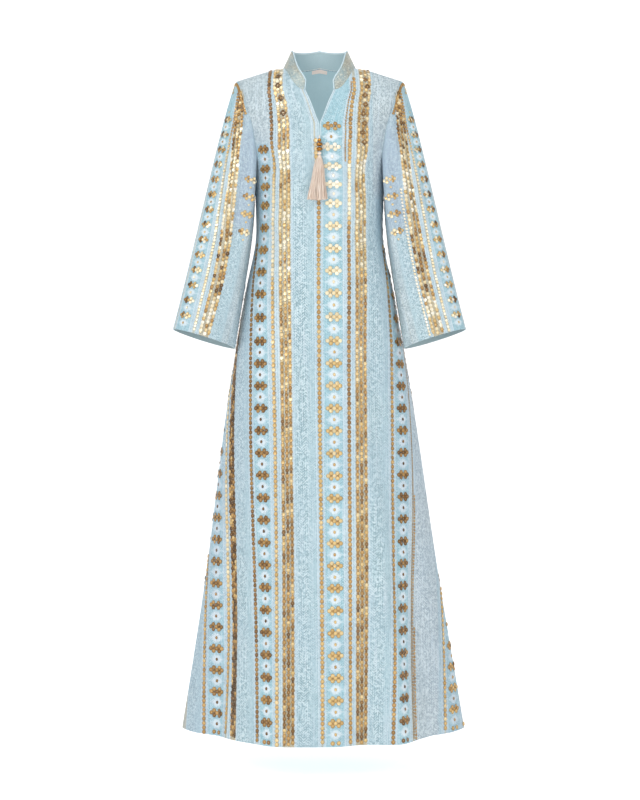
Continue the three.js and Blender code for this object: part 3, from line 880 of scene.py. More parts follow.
    def _yoke(self, side: Side, column: Array, row: Array) -> tuple[Array, Array]:
        """Places above the chest, inside the four edges of half a panel.

        Args:
            side: Front or back.
            column: Shares from the centre to the armhole.
            row: Shares from the chest to the shoulder.

        Returns:
            Their turns and levels.
        """
        body = self.body
        top = self._top(side, column)
        centre = self._centre(side, row)
        arm = (body.curves["armhole", side](row), blend(body.chest, body.ridge, row))
        bottom = (90 * column, np.full_like(column, body.chest))
        found = []
        for k in range(2):
            rows = blend(bottom[k], top[k], row)
            columns = blend(centre[k], arm[k], column)
            low = blend(bottom[k][0], bottom[k][-1], column)
            high = blend(top[k][0], top[k][-1], column)
            found.append(rows + columns - blend(low, high, row))
        return found[0], found[1]

    def _top(self, side: Side, column: Array) -> tuple[Array, Array]:
        """Top edge of half a yoke, which on the back takes in the neckline.

        Args:
            side: Front or back.
            column: Shares from the centre to the armhole.

        Returns:
            Its turns and levels.
        """
        body = self.body
        tip = body.turn_of(body.tip, body.ridge)
        neck = body.turn_of(body.neck_half, body.ridge)
        if side is Side.FRONT:
            return blend(neck, tip, column), np.full_like(column, body.ridge)
        share = self.back_neck_share
        turn, level = body.neckline(side, np.minimum(1, column / share))
        seam = blend(neck, tip, (column - share) / (1 - share))
        on_seam = column > share
        return np.where(on_seam, seam, turn), np.where(on_seam, body.ridge, level)

    def _centre(self, side: Side, row: Array) -> tuple[Array, Array]:
        """Centre edge of half a yoke, which on the front takes in the slit and the neckline.

        Args:
            side: Front or back.
            row: Shares from the chest to the shoulder.

        Returns:
            Its turns and levels.
        """
        body = self.body
        if side is Side.BACK:
            return np.zeros_like(row), blend(body.chest, body.back_neck, row)
        slit_row, neck_row = self.slit_share, self.corner_share
        climbed = np.clip((row - slit_row) / (neck_row - slit_row), 0, 1) ** 1.3
        level = blend(body.slit_end, body.corner_level, climbed)
        turn = body.turn_of(body.curves["slit"](level), level)
        neck = body.neckline(side, np.clip((row - neck_row) / (1 - neck_row), 0, 1))
        low = blend(body.chest, body.slit_end, row / slit_row)
        turn = np.where(row <= slit_row, 0, np.where(row >= neck_row, neck[0], turn))
        level = np.where(row <= slit_row, low, np.where(row >= neck_row, neck[1], level))
        return turn, level


@dataclass
class Sleeves:
    """The two set-in sleeves, the right one a mirror of the left."""

    body: BodyForm
    thickness: float = 1.8
    columns: int = 96
    rows: int = 84
    seam: float = 0.6
    cuff: tuple = (251, -45, -595)
    cuff_half: tuple = (71, 42)
    cuff_slope: float = 17
    cuff_tilt: float = 7
    leave_reach: tuple = (370, 90)
    arrive_reach: tuple = (370, 520)
    axis: tuple = (0.25, -0.08, -0.965)
    folds: tuple = (
        (62, 15, 5, 0.3, 0.24),
        (112, 17, 6, 0.42, 0.26),
        (236, 18, 6, 0.4, 0.28),
        (300, 15, 5, 0.3, 0.24),
    )
    creases: tuple = (
        (72, 3, 66, 62, 7, 3.2),
        (86, 3, 84, 70, 6, -3.4),
        (101, 4, 98, 66, 6, 3.4),
        (116, 5, 118, 60, 7, -3.6),
        (133, 6, 142, 50, 8, 2.6),
        (52, 4, 44, 60, 8, -2.6),
        (120, 60, 160, 84, 9, 2.4),
        (70, 66, 120, 78, 9, -1.8),
        (150, 20, 100, 44, 8, 2.0),
        (250, 6, 262, 62, 9, 3.0),
        (272, 6, 280, 66, 8, -3.2),
        (292, 5, 302, 60, 8, 3.0),
        (312, 4, 318, 52, 8, -2.4),
        (222, 30, 262, 52, 10, 2.4),
        (206, 44, 250, 66, 10, -2.4),
    )

    def ring(self, turn: Array) -> Array:
        """The sleeve's edge at the armhole. Turn 0 is the shoulder tip and 90 the front.

        Args:
            turn: Degrees round the sleeve.

        Returns:
            The points, in millimetres.
        """
        body = self.body
        rise = np.abs(1 - turn / 180)
        points = np.zeros(turn.shape + (3,))
        for side, chosen in ((Side.FRONT, turn <= 180), (Side.BACK, turn > 180)):

            def at(share: Array) -> Array:
                """The armhole edge at shares of its height."""
                level = blend(body.chest, body.ridge, share)
                return body.point(side, body.curves["armhole", side](share), level)

            point = at(rise)
            normal = self.ring_normal(turn)
            along = at(np.minimum(1, rise + 0.01)) - at(np.maximum(0, rise - 0.01))
            guide = np.stack([np.ones_like(rise), 0 * rise, np.where(rise < 0.05, 2.0, 0.0)], -1)
            away = towards(unit(np.cross(along, normal)), guide)
            clear = 0.9 * ease(1 - rise, 0.5, 1)
            found = point + away * self.seam + normal * clear[..., None]
            points = np.where(chosen[..., None], found, points)
        return points

    def ring_normal(self, turn: Array) -> Array:
        """Outward normals of the body along the armhole.

        Args:
            turn: Degrees round the sleeve.

        Returns:
            The normals.
        """
        body = self.body
        rise = np.abs(1 - turn / 180)
        level = blend(body.chest, body.ridge, rise)
        found = [body.normal(s, body.curves["armhole", s](rise), level) for s in Side]
        return np.where((turn <= 180)[..., None], found[0], found[1])

    def point(self, turn: Array, along: Array) -> Array:
        """Points of the left sleeve, round it and from the armhole (0) to the cuff (1).

        Args:
            turn: Degrees round the sleeve.
            along: Shares of its length.

        Returns:
            The points, in millimetres.
        """
        turn, t = np.broadcast_arrays(np.asarray(turn, float) % 360, np.asarray(along, float))
        angle = np.radians(turn)
        out = (1 + np.cos(angle)) / 2
        leave = np.stack([blend(-0.07, 0.7, out), -0.3 * np.sin(angle), -blend(1, 0.7, out)], -1)
        arrive = np.stack([blend(0.11, 0.26, out), 0 * out - 0.12, 0 * out - 1], -1)
        leave = unit(leave) * blend(*self.leave_reach, out)[..., None]
        arrive = unit(arrive) * blend(*self.arrive_reach, out)[..., None]
        drawn = np.zeros_like(t)
        for centre, spread, depth, middle, reach in self.folds:
            across = np.exp(-(((turn - centre) / spread) ** 2))
            drawn = drawn + depth * across * np.exp(-(((t - middle) / reach) ** 2))
        drawn = drawn * ease(t, 0, 0.12)
        inward = np.stack([-np.cos(angle), np.sin(angle), 0 * angle], -1) * drawn[..., None]
        slope, tilt = math.radians(self.cuff_slope), math.radians(self.cuff_tilt)
        outward = np.array([math.cos(slope), 0, math.sin(slope)]) * self.cuff_half[0]
        forward = np.array([0, -math.cos(tilt), math.sin(tilt)]) * self.cuff_half[1]
        cuff = self.cuff + outward * np.cos(angle)[..., None] + forward * np.sin(angle)[..., None]
        t = t[..., None]
        spline = self.ring(turn) * (1 + 2 * t) * (1 - t) ** 2 + leave * t * (1 - t) ** 2
        return spline + cuff * t * t * (3 - 2 * t) + arrive * t * t * (t - 1) + inward

    def normal(self, turn: Array, along: Array) -> Array:
        """Outward normals of the left sleeve.

        Args:
            turn: Degrees round the sleeve.
            along: Shares of its length.

        Returns:
            The normals.
        """
        turn, along = np.broadcast_arrays(np.asarray(turn, float), np.asarray(along, float))
        inside = np.clip(along, 0.01, 0.99)
        across = self.point(turn + 0.05, inside) - self.point(turn - 0.05, inside)
        down = self.point(turn, inside + 0.002) - self.point(turn, inside - 0.002)
        angle = np.radians(turn)
        guide = np.stack([np.cos(angle), -np.sin(angle), 0.2 * np.cos(angle)], -1)
        normal = towards(unit(np.cross(across, down)), guide)
        share = (ease(np.cos(angle), -0.5, 0.5) * ease(along, 0.04, 0))[..., None]
        return unit(blend(normal, self.ring_normal(turn % 360), share))

    def surface(self, turn: Array, along: Array) -> tuple[Array, Array]:
        """Points and normals of the left sleeve with its creases.

        Args:
            turn: Degrees round the sleeve.
            along: Shares of its length.

        Returns:
            The points, and the normals of the form under them.
        """
        turn, along = np.broadcast_arrays(np.asarray(turn, float), np.asarray(along, float))
        points, normals = self.point(turn, along), self.normal(turn, along)
        height = np.zeros(turn.shape)
        for crease in self.creases:
            height = height + Crease(*crease).at(turn % 360, 100 * along)
        fade = ease(along, 0, 0.08) * ease(along, 1, 0.9) * ease(180 - np.abs(turn), 0, 20)
        return points + normals * (height * fade)[..., None], normals

    def build(self, mirror: int, outside: Material, inside: Material) -> bpy.types.Object:
        """Builds one sleeve.

        Args:
            mirror: 1 for the left sleeve, -1 for the right one.
            outside: Finish of its face.
            inside: Finish of its inside.

        Returns:
            The sleeve.
        """
        turn = np.linspace(-180, 180, self.columns + 1)
        along = np.linspace(0, 1, self.rows + 1)[:, None] ** 1.15
        points, normals = self.surface(turn, along)
        cloth = SleeveCloth(self, mirror)
        fabric = cloth.place(points, np.broadcast_to(turn, points.shape[:-1]))
        tint_and_painted_light = cloth.tint_and_painted_light(fabric, points)
        flip = (mirror, 1, 1)
        fabric = fabric / (SLEEVE_CLOTH.period, 1)
        name = "sleeve_left_cloth" if mirror > 0 else "sleeve_right_cloth"
        patch = Patch(points * flip, normals * flip, fabric, tint_and_painted_light)
        return Shell(name, (patch,), self.thickness).build(outside, inside)


class SleeveCloth:
    """How the striped cloth lies on a sleeve."""

    TURNS = np.linspace(-180, 180, 121)
    STRIPES = (23.0, 48.2, 67.9, 121.0)
    FIRST_FLOWER = -2.69
    LAID = (
        (0, 15, 22, 32, 60),
        (105, 22, 43.5, 56, 100),
        (190, 28.5, 51, 71, 128),
        (270, 34.5, 58.5, 80.5, 138),
        (353, 38.5, 65, 92, 141),
        (437, 39, 67, 96, 143),
        (545, 38, 67, 92, 143),
    )
    LEFT_LAID = (
        (0, 15, 22, 32, 60),
        (105, 22, 42, 55, 100),
        (190, 27.5, 48, 68, 128),
        (270, 31.5, 53.5, 76.5, 138),
        (353, 33, 57, 83, 141),
        (437, 31.5, 60, 86, 143),
        (545, 30, 59, 84, 143),
    )

    def __init__(self, sleeves: Sleeves, mirror: int) -> None:
        """Measures the cloth round and down the left sleeve, or the right one's mirror.

        Args:
            sleeves: The sleeves' form.
            mirror: 1 for the left sleeve, -1 for the right one.
        """
        self.sleeves = sleeves
        self.laid = np.array(self.LEFT_LAID if mirror > 0 else self.LAID, float)
        self.axis = unit(np.array(sleeves.axis))
        self.alongs = np.linspace(0, 1, 81)
        grid = sleeves.point(self.TURNS[:, None], self.alongs)
        self.tip = grid[60, 0]
        self.reach = (grid - self.tip) @ self.axis
        self.depths = np.linspace(0, 640, 65)
        rows = []
        for depth in self.depths:
            along = [np.interp(depth, np.maximum.accumulate(r), self.alongs) for r in self.reach]
            ring = sleeves.point(self.TURNS, np.array(along))
            steps = np.linalg.norm(np.diff(ring, axis=0), axis=-1)
            total = np.concatenate([[0], np.cumsum(steps)])
            rows.append(total - total[60])
        self.across = np.array(rows)

    def place(self, points: Array, turn: Array) -> Array:
        """Fabric coordinates of places on the left sleeve, in millimetres and repeats.

        Args:
            points: Places on the left sleeve.
            turn: Degrees round the sleeve.

        Returns:
            The coordinates, in the last axis.
        """
        depth = (points - self.tip) @ self.axis
        distance = lookup(self.depths, self.TURNS, self.across, depth, turn)
        marks = [np.interp(depth, self.laid[:, 0], self.laid[:, k + 1]) for k in range(4)]
        across = across_stripes(distance, marks, self.STRIPES)
        return np.stack([across, depth / SLEEVE_CLOTH.flower_pitch + self.FIRST_FLOWER], -1)

    def find(self, across: Array, down: Array) -> tuple[Array, Array, Array]:
        """Places on the left sleeve of places on the cloth.

        Args:
            across: Millimetres across the cloth.
            down: Repeats down it.

        Returns:
            Their turns, their shares of the length, and whether each was found.
        """
        grid_turn, grid_along = np.meshgrid(self.TURNS, self.alongs)
        surface = self.sleeves.surface(grid_turn, grid_along)[0]
        fabric = self.place(surface, grid_turn)
        turn, along = np.zeros(len(across)), np.full(len(across), 0.5)
        for _ in range(12):
            depth_here = lookup(self.alongs, self.TURNS, fabric[..., 1], along, turn)
            deeper = lookup(self.alongs, self.TURNS, fabric[..., 1], along + 0.01, turn)
            slope = np.maximum((deeper - depth_here) / 0.01, 4)
            along = np.clip(along + (down - depth_here) / slope, 0, 1)
            across_here = lookup(self.alongs, self.TURNS, fabric[..., 0], along, turn)
            aside = lookup(self.alongs, self.TURNS, fabric[..., 0], along, turn + 2)
            slope = np.maximum((aside - across_here) / 2, 0.2)
            turn = np.clip(turn + (across - across_here) / slope, -179, 179)
        depth_here = lookup(self.alongs, self.TURNS, fabric[..., 1], along, turn)
        across_here = lookup(self.alongs, self.TURNS, fabric[..., 0], along, turn)
        near = (np.abs(depth_here - down) < 0.06) & (np.abs(across_here - across) < 1.2)
        return turn, along, near & (along < 0.99)

    def tint_and_painted_light(self, fabric: Array, points: Array) -> Array:
        """Shades of a sleeve: painted sheen along its top, its plain inner part, the lavender
        flower stripe high on its inner front, and painted shade.

        Args:
            fabric: Places on the cloth.
            points: The same places on the left sleeve.

        Returns:
            Shares of pale, lavender and deep, in the last axis.
        """
        across, z = fabric[..., 0], points[..., 2]
        patch = ease(across, 74, 86) * ease(across, 156, 140)
        patch = patch * ease(z, -380, -340) * ease(z, -60, -170)
        front = ease(points[..., 1], 5, -12)
        # Pale along the sleeve's top is a painted sheen; on its inner part it is the plain cloth.
        pale = np.maximum(0.25 * ease(z, -80, -20), 0.8 * ease(across, 105, 112) * (1 - patch))
        # Deep is painted shade on the sleeve's inner side, beside the body.
        deep = 0.35 * ease(across, 112, 150) * ease(z, -120, -200)
        return np.stack([pale, patch * front, deep], -1)


@dataclass(frozen=True)
class Spot:
    """One sequin's place on the cloth, in millimetres across and repeats down."""

    across: float
    down: float
    wide: float
    tall: float
    shade: float

    def away(self, across: float, down: float) -> float:
        """Rough distance from a place of the body's cloth, in millimetres."""
        return math.hypot(self.across - across, 45 * (self.down - down))


@dataclass(frozen=True)
class Shades:
    """Shades of one stripe's sequins down the cloth, from cream (0) to bronze (1): their own gold
    and bronze, with cream rows that are partly painted highlights.
    """

    rows: tuple
    spread: float = 0.12

    def at(self, down: float) -> float:
        """Shade at a place down the cloth."""
        table = np.array(self.rows, float)
        return float(np.interp(down, table[:, 0], table[:, 1]))


# Cream and white rows here are partly painted highlights, where the sequins catch the light; the
# rest is their own gold and bronze.
FRONT_SHADES = {
    (LINE, -2): Shades(((0, 0.6), (28, 0.55))),
    (FLOWER, -2): Shades(((0, 0.7), (28, 0.7))),
    (THIRD, -2): Shades(((0, 0.3), (20, 0.25), (23, 0.5), (28, 0.5))),
    (WIDE, -2): Shades(((0, 0.8), (28, 0.8)), 0.25),
    (LINE, -1): Shades(((0, 0.7), (12, 0.72), (28, 0.76))),
    (FLOWER, -1): Shades(((0, 0.74), (5, 0.62), (9, 0.74), (28, 0.74))),
    (THIRD, -1): Shades(
        ((0.6, 0.84), (1.4, 0.5), (2.6, 0.3), (3, 0.16), (7, 0.2), (8, 0.42), (28, 0.44))
    ),
    (WIDE, -1): Shades(
        (
            *((-3, 0.2), (-0.8, 0.26), (-0.1, 0.44), (1, 0.52), (1.2, 0.04), (1.9, 0.08)),
            *((2.2, 0.48), (3.6, 0.4), (4.4, 0.28), (7, 0.34), (9.5, 0.52), (11, 0.4)),
            *((12, 0.56), (28, 0.64)),
        )
    ),
    (LINE, 0): Shades(((1, 0.3), (4, 0.6), (6, 0.5), (28, 0.48))),
    (FLOWER, 0): Shades(
        ((0, 0.56), (0.6, 0.2), (1, 0.06), (4, 0.14), (9, 0.26), (11, 0.38), (28, 0.48))
    ),
    (THIRD, 0): Shades(
        (
            *((-3, 0.5), (0, 0.66), (1.6, 0.5), (2, 0.16), (4.3, 0.14), (5, 0.62)),
            *((9, 0.76), (19, 0.62), (28, 0.5)),
        )
    ),
    (WIDE, 0): Shades(
        (
            *((-3, 0.3), (-2, 0.44), (1, 0.48), (1.4, 0.14), (2.2, 0.2), (3.2, 0.46), (4, 0.3)),
            *((6.8, 0.34), (7.6, 0.54), (10.6, 0.5), (11, 0.34), (11.6, 0.54), (28, 0.64)),
        )
    ),
    (LINE, 1): Shades(((5, 0.56), (28, 0.64))),
    (FLOWER, 1): Shades(((8, 0.6), (12, 0.76), (28, 0.78))),
    (THIRD, 1): Shades(((8, 0.6), (28, 0.66))),
    (WIDE, 1): Shades(((8, 0.74), (28, 0.74)), 0.2),
    (LINE, 2): Shades(((8, 0.5), (28, 0.42))),
}
# As on the front, cream rows are partly painted highlights.
SLEEVE_SHADES = {
    (FLOWER, 0): Shades(((-2, 0.6), (5, 0.55), (16, 0.4)), 0.3),
    (THIRD, 0): Shades(((-2, 0.66), (0, 0.6), (3, 0.2), (16, 0.14))),
    (WIDE, 0): Shades(
        (
            *((-2, 0.6), (1, 0.56), (3, 0.22), (6, 0.28), (8, 0.56), (11, 0.56)),
            *((12, 0.16), (16, 0.34)),
        ),
        0.26,
    ),
    (LINE, 1): Shades(((-2, 0.6), (4, 0.56), (16, 0.5))),
    (FLOWER, 1): Shades(((-2, 0.3), (5, 0.42), (16, 0.5)), 0.2),
}
PLAIN_SHADES = Shades(((0, 0.56), (28, 0.56)))
FRONT_LINES = (
    (53.5, (-3, 1.7, 0.13), 1.5, 3.0, 0.62),
    (217, (8, 28.4, 0.125), 1.1, 2.9, 0.68),
    (221.5, (17, 28.5, 0.14), 2.0, 3.0, 0.6),
    (227, (23, 28.5, 0.16), 2.8, 3.4, 0.62),
)


@dataclass
class SequinWork:
    """Sequins sewn on a panel or a sleeve, all in one mesh."""

    name: str
    layout: StripeLayout
    shades: dict
    seed: int
    sides: int = 8
    rim_lift: float = 0.85
    cup_lift: float = 0.5
    sunk: float = 0.2
    tilt: float = 0.12
    petals: tuple = (
        (-6.1, 0, 2.25),
        (-3.1, -2.6, 2.25),
        (-3.1, 2.6, 2.25),
        (0, 0, 2.25),
        (3.1, -2.6, 2.25),
        (3.1, 2.6, 2.25),
        (6.1, 0, 2.25),
        (-3.1, 0, 1),
        (3.1, 0, 1),
    )

    def __post_init__(self) -> None:
        """Starts the seeded chance that tilts and tints the sequins."""
        self.chance = random.Random(self.seed)

    def shade(self, kind: Stripe, repeat: int, down: float, spread: float = 1.0) -> float:
        """Shade of a sequin of one stripe.

        Args:
            kind: The stripe.
            repeat: Its repeat across.
            down: Repeats down the cloth.
            spread: How far shades vary, against the stripe's own.

        Returns:
            The shade.
        """
        shades = self.shades.get((kind, repeat), PLAIN_SHADES)
        near = spread * shades.spread
        return min(1, max(0, shades.at(down) + self.chance.uniform(-near, near)))

    def repeat(self, first: int, last: int, top: float, foot: float) -> list[Spot]:
        """The sequins of whole repeats of the stripes.

        Args:
            first: Number of the first repeat across.
            last: Number of the last one.
            top: Repeats down at which they start.
            foot: Repeats down at which they end.

        Returns:
            Their places.
        """
        spots = []
        period = self.layout.period
        for k in range(first, last + 1):
            spots += self.line(LINE, k, k * period, top, foot)
            spots += self.line(THIRD, k, (k + self.layout.line) * period, top, foot)
            spots += self.band(k, (k + self.layout.wide) * period, top, foot)
            for row in range(math.floor(top), math.ceil(foot) + 1):
                spots += self.flower(k, (k + self.layout.flower) * period, row)
        return spots

    def line(self, kind: Stripe, k: int, across: float, top: float, foot: float) -> list[Spot]:
        """One line of touching sequins.

        Args:
            kind: The stripe.
            k: Its repeat across.
            across: Millimetres across the cloth.
            top: Repeats down at which it starts.
            foot: Repeats down at which it ends.

        Returns:
            Their places.
        """
        spots = []
        size = self.layout.flower_pitch / self.layout.line_steps
        down, step = top, 1 / self.layout.line_steps
        while down < foot:
            grown = size * self.chance.uniform(0.46, 0.51)
            spots.append(Spot(across, down, grown * 0.9, grown, self.shade(kind, k, down)))
            down += step * self.chance.uniform(0.95, 1.05)
        return spots

    def band(self, k: int, across: float, top: float, foot: float) -> list[Spot]:
        """The wide band: three staggered columns of discs, with a small one in each gap.

        Args:
            k: Its repeat across.
            across: Millimetres across the cloth.
            top: Repeats down at which it starts.
            foot: Repeats down at which it ends.

        Returns:
            Their places.
        """
        spots = []
        step = 1 / self.layout.wide_steps
        gap = self.layout.column * self.layout.period
        for column in (-1, 0, 1):
            down = top + (0 if column else step / 2)
            place = across + column * gap
            while down < foot:
                drift = 0.12 * math.sin(down * 5.3 + column * 1.1 + k)
                shade = min(1, max(0, self.shade(WIDE, k, down, 1.4) + drift))
                size = gap * self.chance.uniform(0.44, 0.49)
                spots.append(Spot(place, down, size, 1.08 * size, shade))
                deeper = min(1, shade + 0.12)
                spots.append(Spot(place, down + step / 2, 0.3 * gap, 0.26 * gap, deeper))
                down += step * self.chance.uniform(0.96, 1.04)
        return spots

    def cluster(self, across: float, down: float, size: float, shade: float) -> list[Spot]:
        """Four petals round a place.

        Args:
            across: Millimetres across the cloth.
            down: Repeats down the cloth.
            size: Half a petal's width.
            shade: Their shade.

        Returns:
            Their places.
        """
        spots, apart = [], 1.15 * size
        for dx, dy in ((-1, 0), (1, 0), (0, -1), (0, 1)):
            near = min(1, max(0, shade + self.chance.uniform(-0.06, 0.06)))
            row = down + dy * apart / self.layout.flower_pitch
            spots.append(Spot(across + dx * apart, row, size, size, near))
        return spots

    def dotted(
        self, across: float, rows: Sequence[float], wide: float, tall: float, shade: float
    ) -> list[Spot]:
        """A narrow line of like sequins at given rows down the cloth.

        Args:
            across: Millimetres across the cloth.
            rows: Repeats down the cloth.
            wide: Half their width.
            tall: Half their height.
            shade: Their shade.

        Returns:
            Their places.
        """
        return [
            Spot(across, row, wide, tall, min(1, max(0, shade + self.chance.uniform(-0.1, 0.1))))
            for row in rows
        ]

    def flower(self, k: int, across: float, down: float) -> list[Spot]:
        """Two flowers that share a petal, and the dot of the medallion below them.

        Args:
            k: Its repeat across.
            across: Millimetres across the cloth.
            down: Repeats down the cloth.

        Returns:
            Their places.
        """
        grid = self.layout.period / 73.6
        pitch = self.layout.flower_pitch
        spots = []
        # Lean paints shade on one half of each flower and a highlight on the other.
        lean = self.layout.lean * (-0.5 if k else 1)
        for x, y, size in self.petals:
            shade = self.shade(FLOWER, k, down) - math.copysign(lean, x) + (0.2 if size == 1 else 0)
            wide = size * grid
            row = down + y * grid / pitch
            spots.append(Spot(across + x * grid, row, wide, wide, min(1, max(0, shade))))
        dot = 1.35 * grid
        shade = self.shade(FLOWER, k, down) * self.layout.dot
        spots.append(Spot(across, down + 0.5, dot, dot * 1.25, min(1, shade)))
        return spots

    def sew(
        self, spots: list[Spot], found: Array, ground: tuple, finish: Material
    ) -> bpy.types.Object:
        """Makes all the sequins that have a place, as one piece.

        Args:
            spots: Their places on the cloth, their sizes and their shades.
            found: Whether each has a place.
            ground: Their places on the surface, its normals there, and the way across the cloth.
            finish: Their material.

        Returns:
            The piece, which has their shades as an attribute.
        """
        kept = np.flatnonzero(found)
        spots = [spots[i] for i in kept]
        points, normals, rights = (part[kept] for part in ground)
        count, n = len(spots), self.sides
        drawn = np.array([[self.chance.uniform(-1, 1) for _ in range(5)] for _ in range(count)])
        facing = unit(normals + self.tilt * drawn[:, :3])
        rights = unit(rights - facing * (rights * facing).sum(-1, keepdims=True))
        downs = np.cross(facing, rights)
        angle = np.linspace(0, 2 * math.pi, n, endpoint=False)[None, :] + drawn[:, 3:4]
        wide = np.array([spot.wide for spot in spots])[:, None]
        tall = np.array([spot.tall for spot in spots])[:, None]
        ring = (points + facing * self.rim_lift)[:, None, :]
        ring = ring + (np.cos(angle) * wide)[..., None] * rights[:, None, :]
        ring = ring + (np.sin(angle) * tall)[..., None] * downs[:, None, :]
        front = (points + facing * self.cup_lift)[:, None, :]
        rear = (points - facing * self.sunk)[:, None, :]
        vertices = np.concatenate([front, ring, rear], axis=1).reshape(-1, 3) * MM
        around = [
            face
            for k in range(n)
            for face in ((0, 1 + k, 1 + (k + 1) % n), (n + 1, 1 + (k + 1) % n, 1 + k))
        ]
        starts = np.arange(count)[:, None, None] * (n + 2)
        faces = (starts + np.array(around)[None]).reshape(-1, 3)
        mesh = bpy.data.meshes.new(self.name)
        mesh.from_pydata(vertices.tolist(), [], faces.tolist())
        # Shade, partly painted highlight; share towards the rim, for a painted rim shade and centre
        # highlight; and polish.
        colour = mesh.attributes.new("finish", "FLOAT_COLOR", "POINT")
        values = np.ones((count, n + 2, 4), np.float32)
        values[:, :, 0] = np.array([spot.shade for spot in spots])[:, None]
        values[:, :, 1] = 0
        values[:, 1:-1, 1] = 1
        values[:, :, 2] = 0.5 + 0.5 * drawn[:, 4:5]
        colour.data.foreach_set("color", values.ravel())
        return add_piece(self.name, mesh, finish)


class NodeTree:
    """A short way to write the nodes of one material or group."""

    def __init__(self, tree: bpy.types.NodeTree) -> None:
        """Keeps the tree."""
        self.tree = tree

    def add(self, kind: str, **settings: object) -> bpy.types.Node:
        """Adds a node.

        Args:
            kind: Blender's name for it.
            settings: Its options.

        Returns:
            The node.
        """
        node = self.tree.nodes.new(kind)
        for key, value in settings.items():
            setattr(node, key, value)
        return node

    def feed(self, socket: Socket, value: Feed) -> None:
        """Links an input to an output, or sets its value.

        Args:
            socket: The input.
            value: The output or the value, or None to leave the input as it is.
        """
        if isinstance(value, Socket):
            self.tree.links.new(value, socket)
        elif value is not None:
            socket.default_value = value

    def coat(self, name: str, value: Feed) -> None:
        """Feeds the shader's input of that name."""
        self.feed(self.tree.nodes["Principled BSDF"].inputs[name], value)

    def made(self, kind: str, values: Sequence[Feed], **settings: object) -> Socket:
        """Adds a node and feeds its first inputs.

        Args:
            kind: Blender's name for it.
            values: What its inputs get, in their order.
            settings: Its options.

        Returns:
            Its first output.
        """
        node = self.add(kind, **settings)
        for socket, value in zip(node.inputs, values):
            self.feed(socket, value)
        return node.outputs[0]

    def math(self, operation: str, *values: Feed) -> Socket:
        """One, two or three values put through Blender's operation of that name."""
        return self.made("ShaderNodeMath", values, operation=operation)

    def times(self, a: Feed, b: Feed) -> Socket:
        """One value times another."""
        return self.math("MULTIPLY", a, b)

    def plus(self, a: Feed, b: Feed) -> Socket:
        """One value and another."""
        return self.math("ADD", a, b)

    def minus(self, a: Feed, b: Feed) -> Socket:
        """One value less another."""
        return self.math("SUBTRACT", a, b)

    def between(
        self, value: Feed, low: float, high: float, start: float = 0.0, end: float = 1.0
    ) -> Socket:
        """Value eased from the range of low and high to that of start and end."""
        values = (value, low, high, start, end)
        return self.made("ShaderNodeMapRange", values, interpolation_type="SMOOTHSTEP")

    def band(self, value: Feed, low: float, high: float, soft: float) -> Socket:
        """1 between low and high, with soft edges."""
        rise = self.between(value, low - soft, low + soft)
        return self.times(rise, self.between(value, high - soft, high + soft, 1.0, 0.0))

    def mix(self, share: Feed, a: Feed, b: Feed, mode: str = "MIX") -> Socket:
        """Mixes two colours.

        Args:
            share: How much of the second one there is.
            a: The first colour.
            b: The second colour.
            mode: Blender's name for the way of mixing.

        Returns:
            The mixed colour.
        """
        node = self.add("ShaderNodeMix", data_type="RGBA", blend_type=mode)
        for place, value in ((0, share), (6, a), (7, b)):
            self.feed(node.inputs[place], value)
        return node.outputs[2]

    def ramp(self, value: Feed, stops: Sequence[tuple[float, tuple]]) -> Socket:
        """Reads a colour from stops.

        Args:
            value: The place along them.
            stops: Their places and colours.

        Returns:
            The colour.
        """
        node = self.add("ShaderNodeValToRGB")
        elements = node.color_ramp.elements
        while len(elements) < len(stops):
            elements.new(1.0)
        for element, (position, colour) in zip(elements, stops):
            element.position = position
            element.color = colour
        self.feed(node.inputs[0], value)
        return node.outputs[0]

    def noise(self, vector: Feed, scale: float, detail: float = 3.0) -> Socket:
        """Soft noise from 0 to 1."""
        return self.made("ShaderNodeTexNoise", (vector, None, scale, detail))

    def cells(self, vector: Feed, scale: float) -> tuple[Socket, Socket]:
        """Distance inside the cells of a Voronoi pattern, and each cell's colour."""
        near = self.made("ShaderNodeTexVoronoi", (vector, None, scale))
        return near, near.node.outputs[1]

    def plane(self, x: Feed, y: Feed) -> Socket:
        """A flat place from two values."""
        return self.made("ShaderNodeCombineXYZ", (x, y))

    def reach(self, x: Feed, y: Feed) -> Socket:
        """Distance of a flat place from the origin."""
        return self.math("SQRT", self.plus(self.times(x, x), self.times(y, y)))

    def split(self, colour: Feed) -> tuple[Socket, Socket, Socket]:
        """The three parts of a colour."""
        return tuple(self.made("ShaderNodeSeparateColor", (colour,)).node.outputs)

    def bump(self, height: Feed, strength: float, distance: float) -> Socket:
        """Reads a normal from a height.

        Args:
            height: The height.
            strength: How strongly it shows.
            distance: How far the height reaches, in metres.

        Returns:
            The normal.
        """
        node = self.add("ShaderNodeBump")
        for name, value in (("Strength", strength), ("Distance", distance), ("Height", height)):
            self.feed(node.inputs[name], value)
        return node.outputs[0]

    def object_place(self) -> Socket:
        """Object coordinates."""
        return self.add("ShaderNodeTexCoord").outputs["Object"]

    def stretched(self, scale: tuple[float, float, float]) -> Socket:
        """Object coordinates, scaled by so much each way.

        Args:
            scale: The three scales.

        Returns:
            The coordinates.
        """
        node = self.add("ShaderNodeMapping")
        self.feed(node.inputs["Vector"], self.object_place())
        self.feed(node.inputs["Scale"], scale)
        return node.outputs[0]


def tone(red: int, green: int, blue: int) -> tuple[float, float, float, float]:
    """A linear colour from screen values of 0 to 255.

    Args:
        red: Its red.
        green: Its green.
        blue: Its blue.

    Returns:
        The colour, with no transparency.
    """
    values = [part / 255 for part in (red, green, blue)]
    linear = [v / 12.92 if v <= 0.04045 else ((v + 0.055) / 1.055) ** 2.4 for v in values]
    return (*linear, 1.0)


@dataclass(frozen=True)
class Finish:
    """A finish, which each kind of its own paints."""

    name: str

    def make(self) -> Material:
        """Makes the material.

        Returns:
            The material.
        """
        material = bpy.data.materials.new(self.name)
        material.use_nodes = True
        self.paint(NodeTree(material.node_tree))
        return material

    def paint(self, nodes: NodeTree) -> None:
        """Leaves the material plain, for kinds that lay no nodes."""


